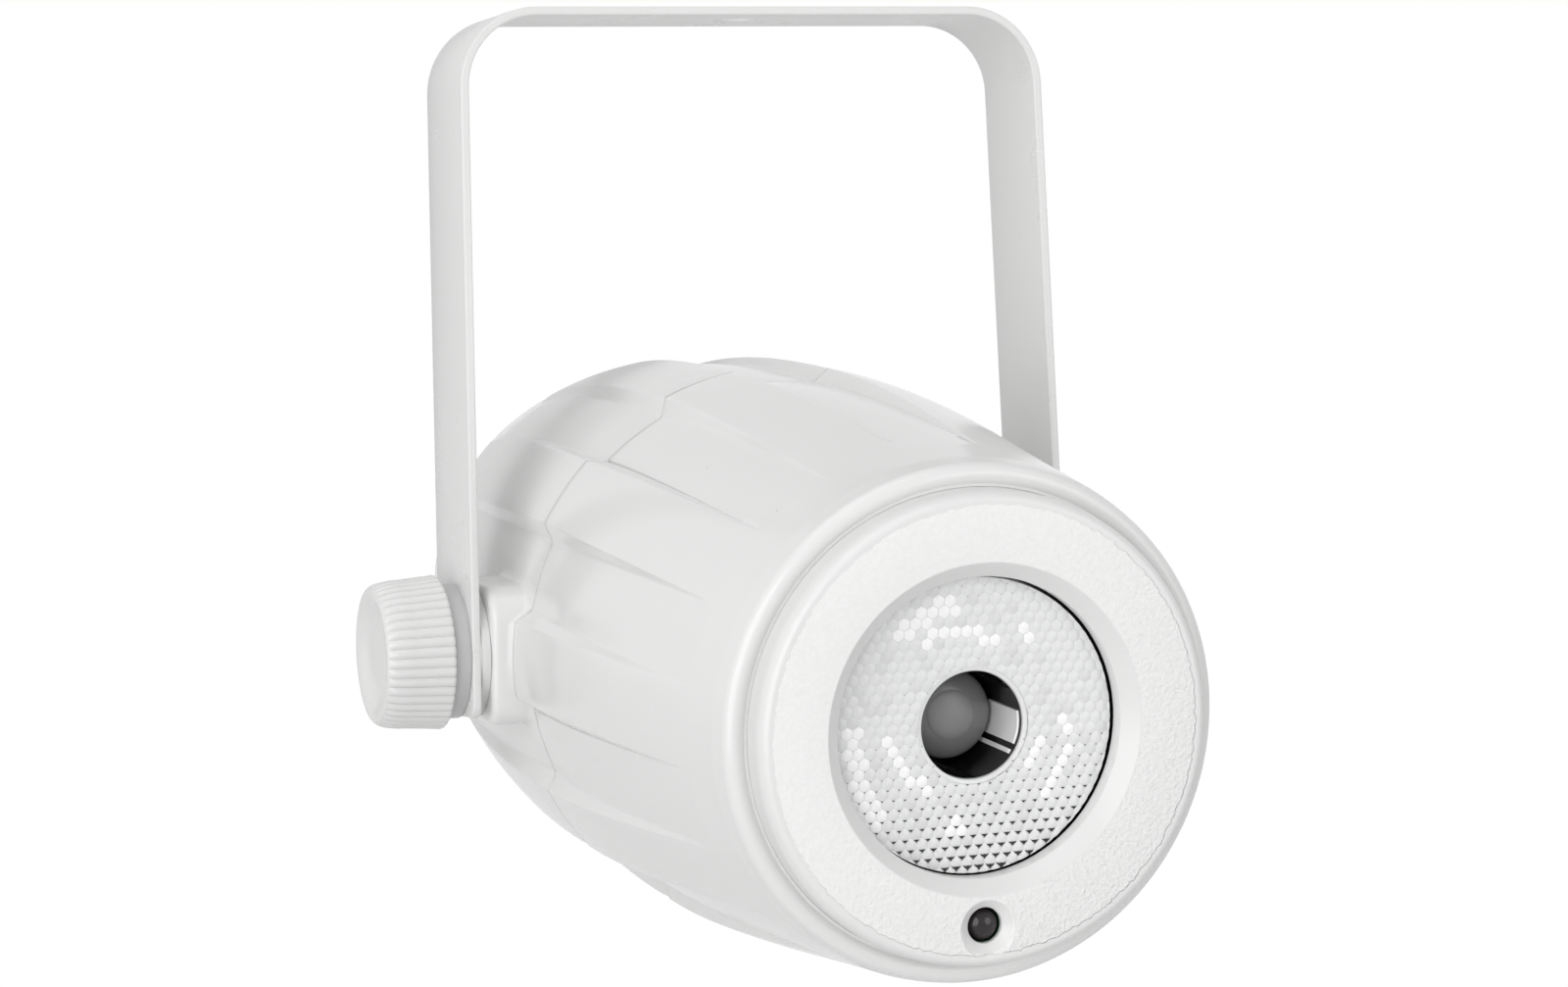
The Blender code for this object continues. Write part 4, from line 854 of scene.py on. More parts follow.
# Lens: a honeycomb front round a well for the LED
lens = {
    "pitch": 0.00205,
    "sag": 0.00022,
    "baseDrop": 0.4,  # share of the sag that the lenslets' feet lie behind the front
    "radius": 0.0251,
    "shift": (-0.0001, -0.0001),
    "well": 0.0092,
    "border": 0.0008,  # plain ring round the well
    "step": 0.0023,
    "flange": (0.0252, 0.0020),  # inside radius, thickness
    "cone": (0.0115, 0.0195, 0.012),  # rear radius, front radius, its front end from the face
    "shadeSpotLift": 0.00023,
    "shadeSpotStart": -0.0022,  # height below which the painted dark spots grow
    "shadeSpotGrowth": (0.0218, 0.00032, 0.00142, 1.8),  # over this height, from this size, by this much, power
    "shadeSpotLean": 11,  # they are larger to the right
    "upperShadeSpots": (0.00022, 0.0045, 0.0215, 0.35),  # size, ring round the well, height, share left out
    "shaded": 0.16,  # share of darker cells
    # arcs of cells painted bright as highlights, standing in for light caught inside the lens: centre x, z, radius,
    # half width, from and to (degrees), strength
    "glints": (
        (0.0005, 0.0005, 0.0205, 0.0016, 97, 133, 1.0),
        (-0.0035, 0.002, 0.0138, 0.0010, 55, 118, 1.0),
        (0.0005, -0.0005, 0.0222, 0.0017, 176, 222, 1.0),
        (-0.001, 0.0025, 0.0146, 0.0011, 196, 246, 1.0),
        (0.001, 0.0, 0.0114, 0.0012, 318, 350, 1.0),
        (0.0006, -0.001, 0.0165, 0.0010, 316, 372, 0.85),
        (-0.003, -0.0172, 0.0006, 0.0014, 0, 360, 1.0),
        (0.0095, 0.0145, 0.0008, 0.0012, 0, 360, 0.8),
    ),
}
cellCorner = lens["pitch"] / sqrt(3)


def cellCentres():
    pitch = lens["pitch"]
    rowHeight = pitch * sqrt(3) / 2
    count = int(lens["radius"] / rowHeight) + 2
    for row in range(-count, count + 1):
        for column in range(-count - 1, count + 2):
            yield (column + (row % 2) / 2) * pitch, row * rowHeight


def chance(x, z):  # a steady random share for a place on the lens
    value = sin(x * 127100 + z * 311700) * 43758.5453
    return value - int(value // 1)


def cellKind(x, z):  # 1 where a painted glint lies, 2 for a darker cell
    for centreX, centreZ, radius, halfWidth, start, end, strength in lens["glints"]:
        turn = atan2(z - centreZ, x - centreX) % (2 * pi)
        inArc = any(radians(start) <= turn + around <= radians(end) for around in (0, 2 * pi))
        if inArc and abs(hypot(x - centreX, z - centreZ) - radius) < halfWidth and chance(x, z) < strength:
            return 1
    return 2 if chance(z, x) < lens["shaded"] else 0


def cellSpots(cx, cz):  # a hexagon's middle and its rings of points
    rings = [[(cx, cz)]]
    for share, count in ((0.42, 6), (0.78, 12), (0.94, 12), (1.0, 12)):
        ring = []
        for step, angle in enumerate(between(pi / 6, 13 * pi / 6, count)[:-1]):
            reach = share * cellCorner * (1 if step % (count // 6) == 0 else cos(pi / 6))
            ring.append((cx + reach * cos(angle), cz + reach * sin(angle)))
        rings.append(ring)
    return rings


def frontFace(mesh, verts):  # a face that looks ahead
    face = mesh.faces.new(verts)
    face.normal_update()
    if face.normal.y > 0:
        face.normal_flip()
    return face


def makeLens():
    low, high = headBox("lens")
    sag, outer, well = lens["sag"], lens["radius"], lens["well"]
    base, inner = high.y - sag * lens["baseDrop"], well + lens["border"]
    shiftX, shiftZ = lens["shift"]
    # the body of the lens: border of the well, cone, flange and outer step
    flangeFront, (flangeRadius, flangeThick) = high.y - lens["step"], lens["flange"]
    coneRear, coneFront, coneDrop = lens["cone"]
    outline = [(base, inner), (base, well + 0.0002), (base - 0.0002, well), (low.y, well), (low.y, coneRear)]
    outline += [(high.y - coneDrop, coneFront), (flangeFront - flangeThick, flangeRadius)]
    outline += [(flangeFront - flangeThick, high.x), (flangeFront, high.x), (flangeFront, outer), (base, outer)]
    mesh = lathe(outline, 128, centre=lens["shift"])
    bmesh.ops.recalc_face_normals(mesh, faces=mesh.faces[:])
    for face in mesh.faces:
        if face.calc_center_median().y < 0.0001 - base and face.normal.y > 0:
            face.normal_flip()
    # and its lenslets
    for cx, cz in cellCentres():
        rings = cellSpots(cx, cz)
        if not any(inner < hypot(*spot) < outer for ring in rings for spot in ring):
            continue
        rows = []
        for ring in rings:
            rows.append([])
            for x, z in ring:
                kept = min(max(hypot(x, z), inner), outer) / hypot(x, z)
                x, z = x * kept, z * kept
                share = min(hypot(x - cx, z - cz) / cellCorner, 1.0)
                rows[-1].append(mesh.verts.new((x + shiftX, -base - sag * (1 - share**2), z + shiftZ)))
        (centre,), six, *twelves = rows
        corners = []
        for step in range(6):
            here, beside = six[step], six[(step + 1) % 6]
            one, two, three = (twelves[0][(2 * step + more) % 12] for more in range(3))
            corners += [(centre, here, beside), (here, one, two), (here, two, beside), (beside, two, three)]
        for within, around in zip(twelves, twelves[1:]):
            for step in range(12):
                corners.append((within[step], around[step], around[(step + 1) % 12], within[(step + 1) % 12]))
        kinds = [cellKind(cx, cz)] * (len(corners) - 12) + [2] * 12  # the seams between lenslets are darker
        for verts, kind in zip(corners, kinds):
            frontFace(mesh, verts).material_index = kind
    piece = makeObject("lensBody", mesh, turned=False)
    for name in ("lensPlastic", "lensBright", "lensShade"):
        piece.data.materials.append(looks[name])
    settle(piece, "head", "lens", sharp=50)


def makeLensShadeSpots():
    # painted shade: dark spots at the lenslets' corners, standing in for the dark inside seen through the lens; they
    # grow towards the lower edge
    level = headBox("lens")[1].y - lens["sag"] * lens["baseDrop"] + lens["shadeSpotLift"]
    outer, inner = lens["radius"] - 0.0003, lens["well"] + lens["border"] * 0.6
    smallest, ringWidth, top, leftOut = lens["upperShadeSpots"]
    span, first, growth, power = lens["shadeSpotGrowth"]
    shiftX, shiftZ = lens["shift"]
    spots = ((-0.5, 0.55), (-0.2, 0.42), (0, 0.5), (0.2, 0.42), (0.5, 0.55), (0.34, 0.2), (0.12, -0.1), (0, -0.45),
             (-0.12, -0.1), (-0.34, 0.2))
    mesh = bmesh.new()
    for x, cz in cellCentres():
        z = cz - cellCorner
        away = hypot(x, z)
        if not inner < away < outer:
            continue
        down = max(lens["shadeSpotStart"] - z, 0) / span
        size = (first + growth * down**power) * (1 + lens["shadeSpotLean"] * x) * (0.94 + 0.12 * chance(x, z))
        if z > lens["shadeSpotStart"]:
            if (away > lens["well"] + ringWidth and z < top) or chance(x, z) < leftOut:
                continue
            size = smallest
        tall = size * 0.56
        frontFace(mesh, [
            mesh.verts.new((x + size * across + shiftX, -level, z + tall * up + shiftZ)) for across, up in spots
        ])
    settle(makeObject("lensFlats", mesh, turned=False), "head", look="lensFlats")


# LED well: glossy black walls, the dome over the LED with a shoulder and a disc, and bright strips painted on the wall
# as a reflection
well = {
    "mouth": 0.0006,  # from the lens's front
    "discRadius": 0.0047,
    "discRise": (0.0008, 0.0011),  # its foot from the dome's crown, and its own rise
    "domeRise": 0.0022,
    "domeWall": 0.003,
    "glintEnds": (0.0008, 0.0042),  # their ends, from the mouth and from the dome's crown
    "glintTurns": ((-26, 11), (-38, -33)),  # parts of the wall that they fill, degrees from +X
}


def quarterRound(foot, rise, radius, steps):  # a dome's outline from its foot to its crown
    return [(foot + rise * sin(turn), radius * cos(turn)) for turn in between(0, pi / 2, steps)]


def makeLedWell():
    low, high = headBox("led_dome")
    mouth, wall, rear = headBox("lens")[1].y - well["mouth"], lens["well"] - 0.0002, low.y + 0.0004
    piece = makeObject("ledWell", lathe([(mouth, wall), (rear, wall), (rear, 0)], 96, centre=lens["shift"]))
    settle(piece, "head", look="wellWall")
    radius, front = high.x, high.y
    shoulder = front - well["domeRise"]
    outline = [(rear, radius), (shoulder - well["domeWall"], radius, 0.0006)]
    outline += quarterRound(shoulder, well["domeRise"], radius - 0.0002, 10)
    settle(makeObject("ledDomeCover", lathe(outline, 96)), "head", "led_dome")
    drop, rise = well["discRise"]
    disc = lathe(quarterRound(front - drop, rise, well["discRadius"], 8), 72)
    settle(makeObject("ledDisc", disc), "head", look="ledDisc")
    # painted reflection: bright strips laid on the black wall
    strips = []
    near, far = well["glintEnds"]
    levels = ((mouth - near, 0.0), (mouth - near - 0.0002, 0.0002), (front - far + 0.0002, 0.0002), (front - far, 0.0))
    for ends in well["glintTurns"]:
        turns = between(*map(radians, ends), 12)

        def arc(radius, turns):
            return [(lens["shift"][0] + radius * cos(turn), lens["shift"][1] + radius * sin(turn)) for turn in turns]

        strips.append(levelled(levels, lambda inset: arc(wall, turns) + arc(wall - 0.0001 - inset, turns[::-1])))
    settle(makeObject("wellPaintedGlint", joinMeshes(*strips)), "head", look="lensBright")


def makeLensSeal():  # black ring that closes the gap round the lens
    front = headBox("lens")[1].y - lens["step"] + 0.0004
    inner, outer = lens["radius"] + 0.0001, headBox("lens")[1].x
    ring = lathe([(front, inner), (front, outer), (front - 0.0006, outer), (front - 0.0006, inner)], 96, True)
    settle(makeObject("lensSeal", ring), "head", look="lensFlats")


receiver = {"radius": 0.0028, "rise": 0.0022, "length": 0.003}


def makeReceiver():
    front = headBox("ir_receiver")[1].y
    radius, rise = receiver["radius"], receiver["rise"]
    outline = [(front - receiver["length"], radius), *quarterRound(front - rise, rise, radius, 10)]
    piece = makeObject("receiverWindow", lathe(outline, 64, centre=(0, -cap["irDrop"])))
    settle(piece, "head", "ir_receiver")


# Knobs, with the washers, spacers, collars and studs on their axis
knob = {
    "ribs": 45,
    "radius": 0.0145,
    "tipRadius": 0.0139,
    "length": 0.0127,
    "edge": 0.0007,
    "shoulder": 0.0074,  # where the side starts to round over
    "ribEnd": (0.0096, 0.0117),  # the grooves run out between these
    "ribDepth": 0.00055,
    "hub": (0.0118, 0.0011, 0.0002),  # radius, length, chamfer
    "crest": 0.0121,  # radius of the outermost ring of the end
    "dish": (0.006912, 0.0017),  # radius of its flat floor, depth
    "samples": (-1.0, -0.86, -0.62, -0.25, 0.25, 0.62, 0.86),
    "contact": 0.00006,
    "washer": (0.0126, 0.0006, 0.0002),  # radius, width of its lip, how far it lies in the collar
    "spacer": (0.0125, 0.00025, 0.00022),  # radius, how far it reaches into the pad and to the collar
    "innerCollar": (0.00026, 0.0014),  # from the spacer, and from the strap's outside
    "outerCollar": (0.0012, 0.06027),  # from the strap's outside, and its end from the middle
}


def knobSide(out):  # radius along the knob, from its inner end to the crest of its outer end
    radius = knob["radius"] + (knob["tipRadius"] - knob["radius"]) * min(out / knob["shoulder"], 1.0)
    rounded = max(out - knob["shoulder"], 0) / (knob["length"] - knob["shoulder"])
    return knob["crest"] + (radius - knob["crest"]) * sqrt(max(1 - rounded**2.3, 0))


def knobInner(side, name):  # the inner end of the knob's hub
    low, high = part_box(name + "_knob")
    return low[0] if side > 0 else -high[0]


def makeKnob(side, name):
    inner, edge, length, depth = knobInner(side, name), knob["edge"], knob["length"], knob["ribDepth"]
    hubRadius, hubLength, chamfer = knob["hub"]
    start = inner + hubLength
    tip = start + length

    def ring(out, radius, depth=0.0):
        spots = []
        for rib in range(knob["ribs"]):
            for sample in knob["samples"]:
                angle = 2 * pi * (rib + sample / 2) / knob["ribs"]
                reach = radius - depth * abs(sample) ** 2.6
                spots.append((side * out, reach * cos(angle), reach * sin(angle)))
        return spots

    rings = [[(side * inner, 0, 0)], ring(inner, hubRadius - chamfer), ring(inner + chamfer, hubRadius)]
    rings.append(ring(start, hubRadius))
    for turn in between(0, pi / 2, 4):
        rings.append(ring(start + edge * (1 - cos(turn)), knob["radius"] - edge * (1 - sin(turn)), depth))
    fadeStart, fadeEnd = knob["ribEnd"]
    for share in between(edge / length, 1.0, 30)[1:]:
        fade = min(max((fadeEnd - share * length) / (fadeEnd - fadeStart), 0.0), 1.0)
        out = length * (1 - (1 - share) ** 1.5 if share > 0.7 else share)  # closer together at the crest
        rings.append(ring(start + out, knobSide(out), depth * fade**0.6))
    floorRadius, dishDepth = knob["dish"]
    crest = knob["crest"]
    for share in between(0, 1, 16)[1:-1]:
        slope = min(crest * share / (crest - floorRadius), 1.0)
        rings.append(ring(tip - dishDepth * (1 - cos(pi * slope)) / 2, crest * (1 - share)))
    rings.append([(side * (tip - dishDepth), 0, 0)])
    settle(makeObject(name + "Knob", skin(rings)), name + "_knob", name + "_knob", place=knobPlace, sharp=60)


def flatRing(side, inner, outer, radius, hole, edge=0.0001):
    outline = [(side * inner, hole), (side * inner, radius, edge), (side * outer, radius, edge), (side * outer, hole)]
    return lathe(outline, 96, True, "X")


def acrossEnds(name):  # a node's inner and outer end, out from the middle
    low, high = headBox(name)
    return sorted((abs(low.x), abs(high.x)))


def makeWashers(side, name):
    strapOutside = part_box("yoke")[1][0]
    radius, lip, sunk = knob["washer"]
    inner = acrossEnds(name + "_knob_washer")[0] - sunk
    face = knobInner(side, name) - knob["contact"]
    rim = knobInner(side, name) + knob["hub"][1] - 0.0001
    outline = [(inner, pad["bore"]), (inner, radius, 0.0001), (rim, radius, 0.0001), (rim, radius - lip)]
    outline += [(face, radius - lip), (face, pad["bore"])]
    mesh = lathe([(side * along, *rest) for along, *rest in outline], 96, True, "X")
    # the washer's grey is painted shade
    settle(makeObject(name + "Washer", mesh), name + "_washer", name + "_knob_washer", "spacerPlastic", knobPlace)
    radius, inwards, outwards = knob["spacer"]
    inner, outer = acrossEnds(name + "_spacer")
    mesh = flatRing(side, inner - inwards, outer + outwards, radius, pad["bore"])
    settle(makeObject(name + "Spacer", mesh), "head", name + "_spacer", "collarPlastic")
    # friction rings bonded to both faces of the leaning strap leg, flush with the parts they rub on
    (first, second), (third, fourth) = knob["innerCollar"], knob["outerCollar"]
    for place, start, end, look in (
        ("Inner", outer + first, strapOutside - second, "collarPlastic"),
        # the outer collar's grey is painted shade
        ("Outer", strapOutside - third, fourth, "spacerPlastic"),
    ):
        mesh = flatRing(side, start, end, radius - 0.0001, strap["studHole"], 0.00005)
        settle(makeObject(name + place + "Collar", mesh), "yoke", look=look, place=knobPlace)


stud = {"pitch": 0.00125, "depth": 0.0005}


def makeStuds(side, name):
    # threaded rod from the insert to the knob
    inner, outer = acrossEnds(name + "_knob_stud")
    pitch, radius = stud["pitch"], headBox(name + "_knob_stud")[1].z
    root = radius - stud["depth"]
    outline = [(inner, 0), (inner, root, 0.0001)]
    along = inner + pitch
    while along < outer - pitch:
        outline += [(along, root), (along + pitch * 0.45, radius), (along + pitch * 0.55, radius)]
        along += pitch
    outline += [(outer, root), (outer, 0)]
    piece = makeObject(name + "Stud", lathe([(side * along, *rest) for along, *rest in outline], 40, axis="X"))
    settle(piece, name + "_knob", name + "_knob_stud", place=knobPlace, sharp=25)


# Rear: the panel and everything set in it
rear = {
    "thickness": 0.0025,
    "panelEdge": 0.0004,
    "holeEdge": 0.0003,
    "holeDepth": 0.006,
    "slide": 0.0004,
    "screw": (0.0019, 0.0008, 0.0357),  # radius, rise, distance from the middle
    "screwCross": (1.25, 0.00042),  # its recess: length in radii, width
    "screwTurns": (25, 90, 155, 235, 305),  # degrees round the panel
    "button": (0.0140, 0.0024, 0.0004),  # height, radius, crown
    "buttonFoot": (0.0013, 0.0038, 0.0045),  # stem's radius, flange's front and rear from the crown
    "socket": (0.022, 0.0015, 0.010, 0.011),  # across, height, radius, flange radius
    "socketFlange": 0.0015,
    "socketFloor": 0.002,
    "bore": 0.009,
    "core": 0.0072,
    "contact": (0.00475, 0.0012, (15, 165, 270)),  # circle, radius, degrees
    "latch": (0.0146, 0.006, 0.0024),  # height, width and height of the tab
    "latchFoot": (0.003, 0.0034),
    "inlet": (-0.0235, 0.027, 0.0195),
    "cavity": (0.0242, 0.015, 0.017),  # width, depth, height
    "cavityCorners": (0.0045, 0.0009),  # upper and lower
    "fuse": (0.0235, -0.0175, 0.006, 0.0068),  # across, height, radius, flange radius
    "fuseCap": (0.0054, 24, 0.00025, 0.0006),  # radius, ribs, their depth, rounded edge
    "fuseSlot": (0.0076, 0.001, 0.001),  # length, width, depth
    "fuseWall": 0.0014,
    "microphoneHole": 0.0012,
    "display": (0.0265, 0.026, 0.010),
}
digits = {"count": 4, "pitch": 0.0058, "tall": 0.0029, "wide": 0.0033, "bar": 0.00055, "lean": 0.1, "rise": 0.00001}


def headMiddle(name):  # a node's middle as (x, z)
    low, high = headBox(name)
    return (low.x + high.x) / 2, (low.z + high.z) / 2


def bevelledHole(outline, face, edge):  # cutter whose rim is chamfered
    return levelled([(face + rear["holeDepth"], 0.0), (face + edge, 0.0), (face - 0.002, -edge - 0.002)], outline)


def makeRearPanel():
    low, high = headBox("rear_panel")
    face, radius, slide = low.y, high.x, rear["slide"]
    back = face + rear["thickness"]
    outline = [(back, 0), (back, radius), (face, radius, rear["panelEdge"]), (face, 0)]
    piece = makeObject("rearPanel", lathe(outline, 160))
    socketX, socketZ, socketRadius, _ = rear["socket"]
    buttonZ, buttonRadius, _ = rear["button"]
    fuseX, fuseZ, fuseRadius, _ = rear["fuse"]
    latchZ, *latchSize = rear["latch"]
    inletZ, *inletSize = rear["inlet"]
    displayZ, *displaySize = rear["display"]
    buttons = [headMiddle(f"menu_button_{number}")[0] for number in range(1, 5)]
    holes = [roundOutline(across, buttonZ, buttonRadius + slide, 32) for across in buttons]
    holes += [roundOutline(side * socketX, socketZ, socketRadius + slide) for side in (-1, 1)]
    holes += [roundOutline(fuseX, fuseZ, fuseRadius + slide), roundOutline(-fuseX, fuseZ, rear["microphoneHole"], 24)]
    holes += [boxOutline(0, displayZ, *displaySize, 0.0008)]
    holes += [boxOutline(socketX, latchZ, *(size + 2 * slide for size in latchSize), 0.0005)]
    holes += [boxOutline(0, inletZ, *(size + 2 * slide for size in inletSize), 0.001)]
    carve(piece, joinMeshes(*(bevelledHole(hole, face, rear["holeEdge"]) for hole in holes)))
    settle(piece, "head", "rear_panel", sharp=30)
    screws = makeObject("panelScrews", joinMeshes(*(makeScrew(face, radians(turn)) for turn in rear["screwTurns"])))
    settle(screws, "head", look="zincSteel", sharp=30)


def makeScrew(face, turn):  # pan head with a cross recess
    radius, rise, reach = rear["screw"]
    long, wide = rear["screwCross"]
    x, z = reach * cos(turn), reach * sin(turn)
    outline = [(face + 0.0002, radius), (face, radius)]
    outline += [(face - rise * sin(angle), radius * cos(angle) ** 0.5) for angle in between(0, pi / 2, 7)[1:-1]]
    screw = makeObject("screw", lathe([*outline, (face - rise, 0)], 36, centre=(x, z)))
    for angle in (turn, turn + pi / 2):

        def arm(inset):
            box = roundedBox(radius * long, wide, 0.0001, inset)
            return [(x + a * cos(angle) - b * sin(angle), z + a * sin(angle) + b * cos(angle)) for a, b in box]

        carve(screw, levelled(((face - rise - 0.0004, 0.0), (face - rise * 0.35, 0.00008)), arm))
    mesh = bmesh.new()
    mesh.from_mesh(screw.data)
    bpy.data.objects.remove(screw)
    return mesh


def makeDisplay():
    low, high = headBox("display_window")
    middle = (low.z + high.z) / 2
    window = slab((0, middle), low.y, high.y, high.x - low.x, high.z - low.z, 0.0006, 0.0002)
    settle(makeObject("displayWindow", window), "head", "display_window")
    # unlit digits of seven segments on the window's face: (x, z, upright) of each segment
    segments = ((0, 1, 0), (0, 0, 0), (0, -1, 0), (-1, 0.5, 1), (1, 0.5, 1), (-1, -0.5, 1), (1, -0.5, 1))
    tall, wide, half = digits["tall"], digits["wide"], digits["bar"] / 2
    parts = []
    for digit in range(digits["count"]):
        across = ((digits["count"] - 1) / 2 - digit) * digits["pitch"]
        for x, z, upright in segments:
            long = (tall if upright else wide) / 2 - half * 1.24
            spots = [(-long, 0), (half - long, half), (long - half, half), (long, 0), (long - half, -half)]
            mesh = bmesh.new()
            ring = []
            for one, two in [*spots, (half - long, -half)]:
                spotX, spotZ = (two, one) if upright else (one, two)
                spotX, spotZ = spotX + x * wide / 2, spotZ + z * tall
                spotX += across - digits["lean"] * spotZ
                ring.append(mesh.verts.new((spotX, 2 * digits["rise"] - low.y, middle + spotZ)))
            bmesh.ops.solidify(mesh, geom=[mesh.faces.new(ring)], thickness=digits["rise"])
            parts.append(mesh)
    settle(makeObject("displayDigits", joinMeshes(*parts)), "head", look="unlitDigits")


def makeButtons():
    height, radius, crown = rear["button"]
    stem, flangeFront, flangeRear = rear["buttonFoot"]
    for number in range(1, 5):
        name = f"menu_button_{number}"
        low, high = headBox(name)
        middle = headMiddle(name)[0]
        face, flange = low.y, high.x - middle
        outline = [(high.y, 0), (high.y, stem), (face + flangeRear, stem), (face + flangeRear, flange)]
        outline += [(face + flangeFront, flange), (face + flangeFront, radius), (face + crown, radius, 0.00025)]
        outline += quarterRound(face + crown, -crown, radius * 0.9, 6)
        piece = makeObject(f"menuButton{number}", lathe(outline, 40, centre=(middle, height)))
        settle(piece, f"button_{number}", name, sharp=30)


def flangedSide(mouth, back, radius, flange):  # outline from a mouth's rim round to the middle of the back
    flangeFront = mouth + rear["socketFlange"]
    return [(mouth, flange, 0.0004), (flangeFront, flange), (flangeFront, radius), (back, radius), (back, 0)]


def makeSocket(name, node, side):
    across, height, radius, flange = rear["socket"]
    circle, contact, turns = rear["contact"]
    mouth, back = (corner.y for corner in headBox(node))
    floor, bore, core = back - rear["socketFloor"], rear["bore"], rear["core"]
    outline = [(floor, 0), (floor, bore), (mouth, bore, 0.0003), *flangedSide(mouth, back, radius, flange)]
    if side > 0:  # the output has a core with contact holes
        outline[:1] = [(mouth + 0.0004, 0), (mouth + 0.0004, core, 0.0003), (floor, core)]
    piece = makeObject(name, lathe(outline, 96, centre=(side * across, height)))
    if side > 0:
        levels = ((floor - 0.001, 0.0), (mouth + 0.0007, 0.0), (mouth - 0.001, -0.0017))
        spots = [(across - circle * cos(turn), height + circle * sin(turn)) for turn in map(radians, turns)]
        holes = [roundOutline(*spot, contact + 0.0003, 24) for spot in spots]
        carve(piece, joinMeshes(*(levelled(levels, hole) for hole in holes)))
    settle(piece, "head", node, sharp=30)


def makeSignalPins():
    contact = rear["contact"][1]
    for number in (1, 2, 3):
        node = f"dmx_in_pin_{number}"
        low, high = headBox(node)
        outline = [(high.y, 0), (high.y, contact)]
        for turn in between(0, pi / 2, 6):
            outline.append((low.y + contact / 2 * (1 - sin(turn)), contact / 2 * (1 + cos(turn))))
        pin = lathe([*outline, (low.y, 0)], 32, centre=headMiddle(node))
        settle(makeObject(f"signalPin{number}", pin), "head", node)


def makeLatch():
    low, high = headBox("dmx_latch")
    across, (height, width, tall) = rear["socket"][0], rear["latch"]
    tabEnd, footStart = rear["latchFoot"]
    tab = slab((across, height), low.y, high.y - tabEnd, width, tall, 0.0005, 0.0004)
    foot = slab((across, height), high.y - footStart, high.y, high.x - low.x, tall, 0.0003, 0.0001)
    settle(makeObject("releaseLatch", joinMeshes(tab, foot)), "latch", "dmx_latch", sharp=30)


def makeInlet():
    low, high = headBox("mains_inlet")
    height, *body = rear["inlet"]
    mouth = low.y
    flangeFront, rim = mouth + rear["socketFlange"], (high.x - low.x, high.z - low.z)
    rings = []
    for ahead, box, inset in (
        (high.y, body, 0.0), (flangeFront, body, 0.0), (flangeFront, rim, 0.0),
        (mouth + 0.0004, rim, 0.0), (mouth + 0.0001, rim, 0.0001), (mouth, rim, 0.0004),
    ):
        rings.append([(x, -ahead, height + z) for x, z in roundedBox(*box, 0.0012, inset)])
    piece = makeObject("mainsInlet", capped(rings))
    width, depth, tall = rear["cavity"]
    upper, lower = rear["cavityCorners"]

    def outline(inset):
        x, z = width / 2 - inset, tall / 2 - inset
        right = [(x - lower, -z), (x, lower - z), (x, z - upper), (x - upper, z)]
        spots = right + [(-spotX, spotZ) for spotX, spotZ in reversed(right)]
        return [(spotX, height + spotZ) for spotX, spotZ in spots]

    carve(piece, levelled([(mouth + depth, 0.0), (mouth + 0.0005, 0.0), (mouth - 0.001, -0.0015)], outline))
    settle(piece, "head", "mains_inlet", sharp=30)
    for name in ("live", "neutral", "earth"):
        node = "mains_pin_" + name
        low, high = headBox(node)
        blade = slab(headMiddle(node), low.y, high.y, high.x - low.x, high.z - low.z, 0.0003, 0.0006)
        settle(makeObject("blade" + name.capitalize(), blade), "head", node)


def makeFuseCap():
    x, z, radius, flange = rear["fuse"]
    capRadius, ribs, ribDepth, edge = rear["fuseCap"]
    slotLong, slotWide, slotDeep = rear["fuseSlot"]
    hole = radius - rear["fuseWall"]
    rearEnd, front = (corner.y for corner in headBox("fuse_cap"))
    mouth, back = (corner.y for corner in headBox("fuse_holder"))

    def ring(ahead, reach, ribbed=0):
        spots = []
        for rib in range(ribs):
            for share, drop in ((-0.5, ribDepth * ribbed), (-0.3, 0.0), (0.3, 0.0)):
                angle = 2 * pi * (rib + share) / ribs
                spots.append((x + (reach - drop) * cos(angle), -ahead, z + (reach - drop) * sin(angle)))
        return spots

    shoulder = mouth - 0.0003
    rings = [ring(front, hole - 0.0004), ring(shoulder, hole - 0.0004), ring(shoulder, capRadius, 1)]
    rings.append(ring(rearEnd + edge * 1.5, capRadius, 1))
    for turn in between(0, pi / 2, 5):
        rings.append(ring(rearEnd + edge * (1 - sin(turn)), capRadius - edge * (1 - cos(turn))))
    piece = makeObject("fuseCap", capped(rings))
    levels = ((rearEnd - 0.001, -0.001), (rearEnd + 0.0001, 0.0), (rearEnd + slotDeep, 0.0))
    carve(piece, levelled(levels, boxOutline(x, z, slotLong, slotWide, 0.0002)))
    settle(piece, "fuse_cap", "fuse_cap", sharp=30)
    floor = back - rear["fuseWall"]
    outline = [(floor, 0), (floor, hole), (mouth, hole, 0.0002), *flangedSide(mouth, back, radius, flange)]
    settle(makeObject("fuseHolder", lathe(outline, 64, centre=(x, z))), "head", "fuse_holder", sharp=30)


makeStrap()
print("strap bent")
makeFrontShell()
makeRearShell()
print("housing moulded")
makeFaceCap()
print("face cap turned")
makeLens()
makeLensShadeSpots()
makeLedWell()
makeLensSeal()
makeReceiver()
print("lens and LED set")
for side, name in ((-1, "left"), (1, "right")):
    makeKnob(side, name)
    makeWashers(side, name)
    makeStuds(side, name)
print("knobs, washers and studs made")
makeRearPanel()
makeDisplay()
makeButtons()
makeSocket("signalIn", "dmx_in_socket", -1)
makeSignalPins()
makeSocket("signalOut", "dmx_out_socket", 1)
makeLatch()
makeInlet()
makeFuseCap()
print("rear panel fitted")


